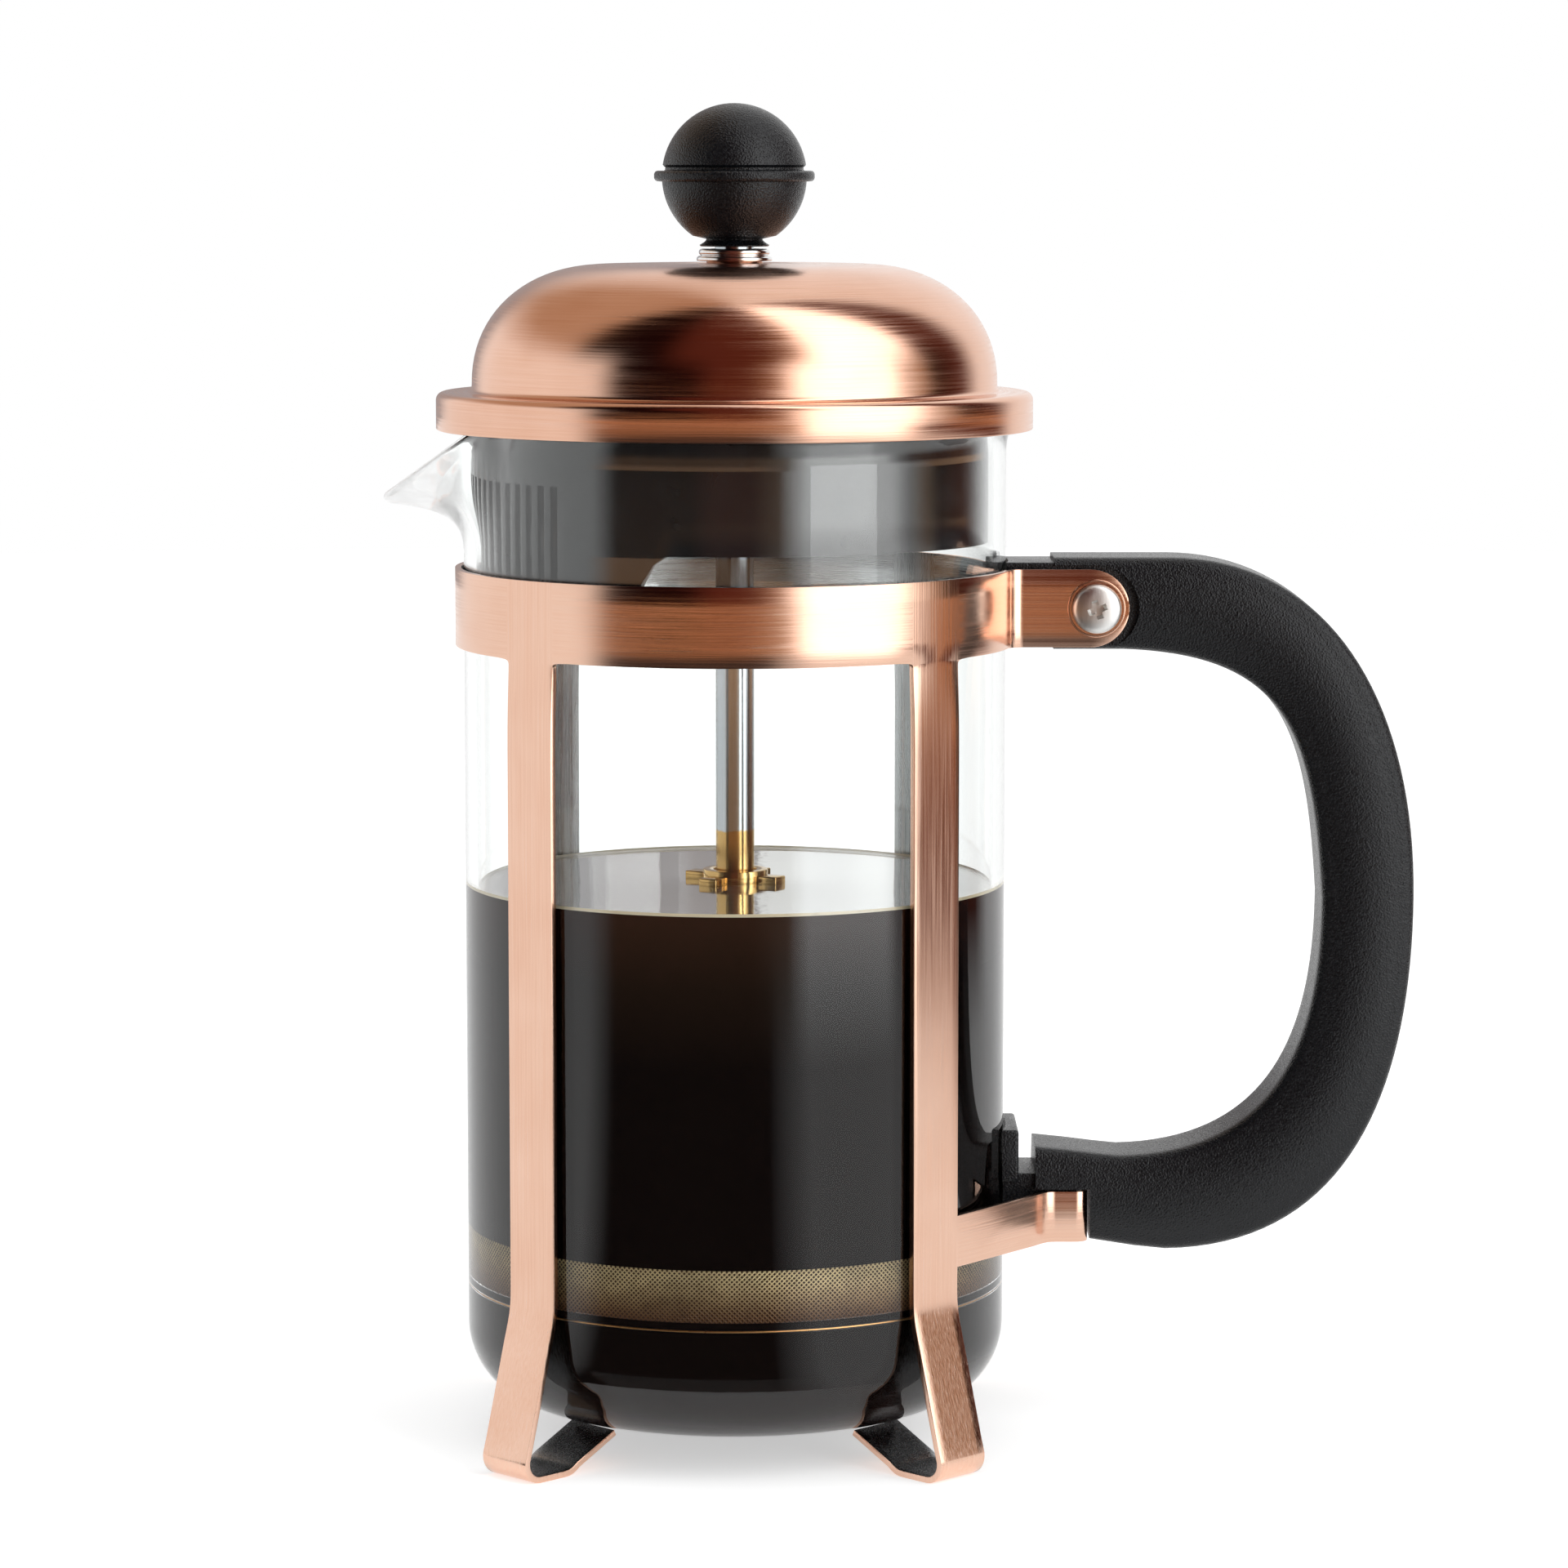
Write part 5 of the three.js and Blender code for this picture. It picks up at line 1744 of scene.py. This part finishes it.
@dataclass
class Studio:
    """Pale floor, soft light, a glowing shell of soft boxes, dark cards and painted reflections that metal and glass
    mirror, and the camera.
    """

    axis_x: float
    floor_r: float = 1.6
    sky: float = 0.8
    flag_r: float = 1.6
    above_z: Point = (0.55, 0.95)
    middle_r: Point = (0.34, 0.52)
    far_r: Point = (0.85, 1.15)
    # Height of the glowing floor sheet that paints the floor's reflections and shade for mirrors.
    painted_floor_z: float = 0.6 * MM
    floor_grey: float = 0.82
    floor_glow: float = 0.5
    brightest: float = 2.8
    camera_side: float = 6.36 * MM
    camera_back: float = 0.6847
    camera_up: float = 0.1657
    camera_tilt: float = 6.7
    camera_lens: float = 121.875

    @staticmethod
    def _plain_light(tree: bpy.types.NodeTree) -> bpy.types.NodeSocket:
        """1 for rays from the camera, a mirror or clear glass, and 0 for the rest."""
        path = tree.nodes.new("ShaderNodeLightPath")
        total = path.outputs["Is Camera Ray"]
        for name in ("Is Glossy Ray", "Is Transmission Ray"):
            node = tree.nodes.new("ShaderNodeMath")
            node.operation = "MAXIMUM"
            tree.links.new(total, node.inputs[0])
            tree.links.new(path.outputs[name], node.inputs[1])
            total = node.outputs[0]
        return total

    def world(self) -> None:
        """White background, and softer light on matt surfaces."""
        world = bpy.data.worlds.new("studio")
        bpy.context.scene.world = world
        world.use_nodes = True
        tree = world.node_tree
        back = tree.nodes["Background"]
        back.inputs["Color"].default_value = (1.0, 1.0, 1.0, 1.0)
        node = tree.nodes.new("ShaderNodeMapRange")
        node.inputs["To Min"].default_value = self.sky
        node.inputs["To Max"].default_value = 1.0
        tree.links.new(self._plain_light(tree), node.inputs["Value"])
        tree.links.new(node.outputs[0], back.inputs["Strength"])

    def floor(self) -> None:
        """Round pale floor that keeps the shadow of the feet."""
        bm = bmesh.new()
        bmesh.ops.create_circle(bm, cap_ends=True, segments=96, radius=self.floor_r)
        mesh = as_mesh("floor", bm)
        floor = in_scene("floor", mesh)
        p = Painter("pale_floor")
        paint, glow = p.add("ShaderNodeBsdfDiffuse"), p.add("ShaderNodeEmission")
        paint.inputs["Color"].default_value = (self.floor_grey, self.floor_grey, self.floor_grey, 1.0)
        p.feed(glow.inputs["Strength"], p.times(self._plain_light(p.tree), self.floor_glow))
        both = p.add("ShaderNodeAddShader")
        for socket, shader in zip(both.inputs, (paint, glow)):
            p.feed(socket, shader.outputs[0])
        p.finish_with(both.outputs[0])
        mesh.materials.append(p.material)

    def _facing(self, azimuth: float, distance: float, height: float) -> Matrix:
        """Place at an azimuth from the camera's side, facing the press.

        Args:
            azimuth: degrees to the right of the camera.
            distance: from the axis.
            height: above the floor.

        Returns:
            The place, its -Z towards the press.
        """
        angle = math.radians(azimuth - 90.0)
        spot = Vector((self.axis_x + distance * math.cos(angle), distance * math.sin(angle), height))
        aim = Vector((self.axis_x, 0.0, height)) - spot
        return Matrix.Translation(spot) @ aim.to_track_quat("-Z", "Y").to_matrix().to_4x4()

    @staticmethod
    def _ramp(p: Painter, value: bpy.types.NodeSocket, stops: Sequence[tuple[float, Colour]]) -> bpy.types.NodeSocket:
        """Colour by azimuth.

        Args:
            p: builds the material.
            value: azimuth as a share of a full turn.
            stops: azimuth in degrees to the right of the camera, and colour as a share of the brightest one.

        Returns:
            The colour.
        """
        node = p.add("ShaderNodeValToRGB")
        ramp = node.color_ramp
        for i, (azimuth, colour) in enumerate(stops):
            place = azimuth / 360.0 + 0.5
            stop = ramp.elements[i] if i < 2 else ramp.elements.new(place)
            stop.position = place
            stop.color = (*colour, 1.0)
        p.feed(node.inputs[0], value)
        return node.outputs[0]

    def _backdrop(self, name: str, first: Sequence, others: Sequence, by_height: bool) -> bpy.types.Material:
        """Glowing sheet, painted with the soft boxes, dark cards and reflections that mirrors see, and clear to every
        other ray.

        Args:
            name: the material's name.
            first: colours round the lowest or nearest part.
            others: for each further part, the stretch over which it takes over and its colours.
            by_height: True measures the stretches upwards and False outwards.

        Returns:
            The material.
        """
        p = Painter(name)
        x, y, z = p.place(Vector((self.axis_x, 0.0, 0.0)))
        around = p.sum("DIVIDE", p.sum("ARCTAN2", x, p.times(y, -1.0)), math.tau)
        around = p.sum("ADD", around, 0.5)
        out = p.radius(x, y)
        colour = self._ramp(p, around, first)
        for (start, end), stops in others:
            share = p.span(z if by_height else out, start, end, 0.0, 1.0)
            colour = p.tint(share, colour, self._ramp(p, around, stops))
        glow = p.add("ShaderNodeEmission")
        p.feed(glow.inputs["Color"], colour)
        glow.inputs["Strength"].default_value = self.brightest
        clear = p.add("ShaderNodeBsdfTransparent")
        path = p.add("ShaderNodeLightPath")
        pick = p.add("ShaderNodeMixShader")
        p.feed(pick.inputs[0], p.sum("GREATER_THAN", path.outputs["Glossy Depth"], 0.5))
        p.feed(pick.inputs[1], clear.outputs[0])
        p.feed(pick.inputs[2], glow.outputs[0])
        p.finish_with(pick.outputs[0])
        return p.material

    def _hang(self, name: str, line: Sequence[Point], material: bpy.types.Material) -> None:
        """Turn a line into a shell all round the press that only mirrors see."""
        mesh = as_mesh(name, turned_sheet(line, self.axis_x, 48))
        mesh.materials.append(material)
        obj = in_scene(name, mesh)
        obj.visible_camera = False
        obj.visible_diffuse = False
        obj.visible_shadow = False

    def backdrop(self) -> None:
        """Soft boxes, dark cards and painted reflections round the press, as mirrors see them."""
        # Tones of the glowing shell: white and the lamp stretch stand for soft boxes, black for dark cards; the
        # reddish, amber and warm tones and the brownish floor tone are painted reflections of copper and the handle
        # mirrored in copper and of the floor in shadow; the dim tone is painted shade on the floor near the press.
        tones = (
            (1.06, 1.06, 1.06), (0.56, 0.40, 0.29), (0.012, 0.004, 0.004), (0.11, 0.030, 0.020),
            (0.85, 0.48, 0.27), (0.05, 0.04, 0.037), (0.42, 0.40, 0.41), (0.34, 0.19, 0.11),
        )
        shares = (tuple(part / self.brightest for part in tone) for tone in tones)
        white, warm, black, red, shaded_floor, dim, edge, amber = shares
        lamp = (1.0, 1.0, 1.0)
        level = [
            (-179.0, edge), (-156.0, edge), (-142.0, white), (-62.0, white), (-51.0, black), (-18.0, black),
            (-8.0, red), (8.0, red), (19.0, amber), (31.0, lamp), (70.0, lamp), (79.0, white), (88.0, warm),
            (97.0, black), (119.0, red), (133.0, white), (179.0, white),
        ]
        above = [
            (-179.0, white), (-150.0, warm), (-84.0, warm), (-72.0, black), (-36.0, black), (-22.0, red),
            (6.0, red), (16.0, red), (29.0, amber), (41.0, lamp), (82.0, lamp), (94.0, red), (118.0, red),
            (131.0, white), (179.0, white),
        ]
        near = [
            (-179.0, white), (-62.0, white), (-50.0, dim), (14.0, dim), (31.0, white), (179.0, white),
        ]
        middle = [
            (-179.0, white), (-62.0, white), (-50.0, amber), (8.0, amber), (22.0, warm), (31.0, lamp),
            (65.0, lamp), (71.0, white), (78.0, red), (121.0, red), (132.0, white), (179.0, white),
        ]
        far = [
            (-179.0, white), (-64.0, white), (-52.0, shaded_floor), (10.0, shaded_floor), (22.0, warm), (31.0, lamp),
            (70.0, lamp), (80.0, white), (92.0, shaded_floor), (122.0, shaded_floor), (133.0, white), (179.0, white),
        ]
        # Glowing shells that only mirrors see, painted with these soft boxes, dark cards and reflections.
        sail = arc((0.0, 0.0), self.flag_r, math.radians(-1.5), math.radians(88.0), 24)
        cloth = self._backdrop("painted_reflection_shell", level, [(self.above_z, above)], True)
        self._hang("round_backdrop", sail, cloth)
        cloth = self._backdrop("painted_reflection_floor", near, [(self.middle_r, middle), (self.far_r, far)], False)
        self._hang("floor_backdrop", [(0.05, self.painted_floor_z), (self.flag_r, self.painted_floor_z)], cloth)

    def lamp(self, name: str, size: Point, place: Matrix, radiance: float) -> None:
        """Flat soft lamp.

        Args:
            name: its name.
            size: width and height.
            place: where it stands, shining along its -Z.
            radiance: how bright its face is.
        """
        light = bpy.data.lights.new(name, "AREA")
        light.shape = "RECTANGLE"
        light.size, light.size_y = size
        light.energy = radiance * math.pi * size[0] * size[1]
        obj = in_scene(name, light)
        obj.matrix_world = place
        obj.visible_camera = False
        # Mirrors don't see the lamp; its highlight is painted by the brightest stretch of the glowing shell.
        obj.visible_glossy = False

    def camera(self) -> None:
        """Camera in front, a little above the knob and looking slightly down."""
        data = bpy.data.cameras.new("camera")
        data.sensor_width = 36.0
        data.lens = self.camera_lens
        data.clip_start = 0.02
        data.clip_end = 50.0
        obj = in_scene("camera", data)
        spot = Matrix.Translation((self.axis_x + self.camera_side, -self.camera_back, self.camera_up))
        obj.matrix_world = spot @ Matrix.Rotation(math.radians(90.0 - self.camera_tilt), 4, "X")
        bpy.context.scene.camera = obj

    def build(self) -> None:
        """Set up the whole studio."""
        bpy.context.scene.view_settings.view_transform = "Standard"
        self.world()
        self.floor()
        self.camera()
        self.backdrop()
        self.lamp("right_lamp", (0.52, 1.5), self._facing(48.0, 0.95, 0.73), 3.0)
        LOG.info("studio ready")


def make_finishes(axis_x: float) -> Finishes:
    """Make every finish once.

    Args:
        axis_x: where the pressing axis stands.

    Returns:
        The finishes.
    """
    centre, beaker = Vector((axis_x, 0.0, 0.0)), Beaker(axis_x)
    return Finishes(
        copper_turned=BrushedPlate("copper_turned", centre, Brushing.TURNED).material(),
        copper_strip=BrushedPlate(
            "copper_strip", centre, Brushing.STRIP, light=(0.86, 0.58, 0.45), deep=(0.76, 0.46, 0.33)
        ).material(),
        bare_strip=BrushedPlate(
            "bare_strip", centre, Brushing.STRIP, light=(0.50, 0.51, 0.52), deep=(0.36, 0.37, 0.38), roughness=0.24
        ).material(),
        grained=GrainedPlastic(centre).material(),
        gloss=GlossPlastic(centre).material(),
        chrome=PlainMetal(centre, Metal.CHROME).material(),
        zinc=PlainMetal(centre, Metal.ZINC).material(),
        # The amber on the drawn steel reaches 4.6 mm above the collar; on the rod it is a painted reflection of the
        # coffee.
        drawn=PlainMetal(centre, Metal.DRAWN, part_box("stop_collar")[1].z + 4.6 * MM).material(),
        stained=PlainMetal(centre, Metal.STAINED).material(),
        sheet=PlainMetal(centre, Metal.SHEET).material(),
        cloth=WireCloth(centre, Plunger(axis_x).lip_r).material(),
        glass=ClearGlass(centre).material(),
        coffee=BlackCoffee(centre, beaker.coffee_z, beaker.base_z).material(),
        film=CoffeeFilm(centre, beaker.outer_r).material(),
    )


def plain(bounds: Sequence[Sequence[float]]) -> list[list[float]]:
    """Bounds as lists of numbers."""
    return [[float(v) for v in corner] for corner in bounds]


def main() -> None:
    """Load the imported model, build each sub-assembly round it and set up the studio."""
    logging.basicConfig(level=logging.INFO, format="%(name)s %(message)s")
    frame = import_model()
    low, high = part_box("plunger_rod")
    axis_x = (low.x + high.x) / 2
    finishes = make_finishes(axis_x)
    for part in (StripFrame(axis_x), Handle(axis_x), Beaker(axis_x), Lid(axis_x), Plunger(axis_x)):
        part.build(finishes)
        LOG.info("%s ready", type(part).__name__)
    dress_kept_nodes(frame["nodes"], finishes)
    Studio(axis_x).build()


if __name__ == "__main__":
    main()
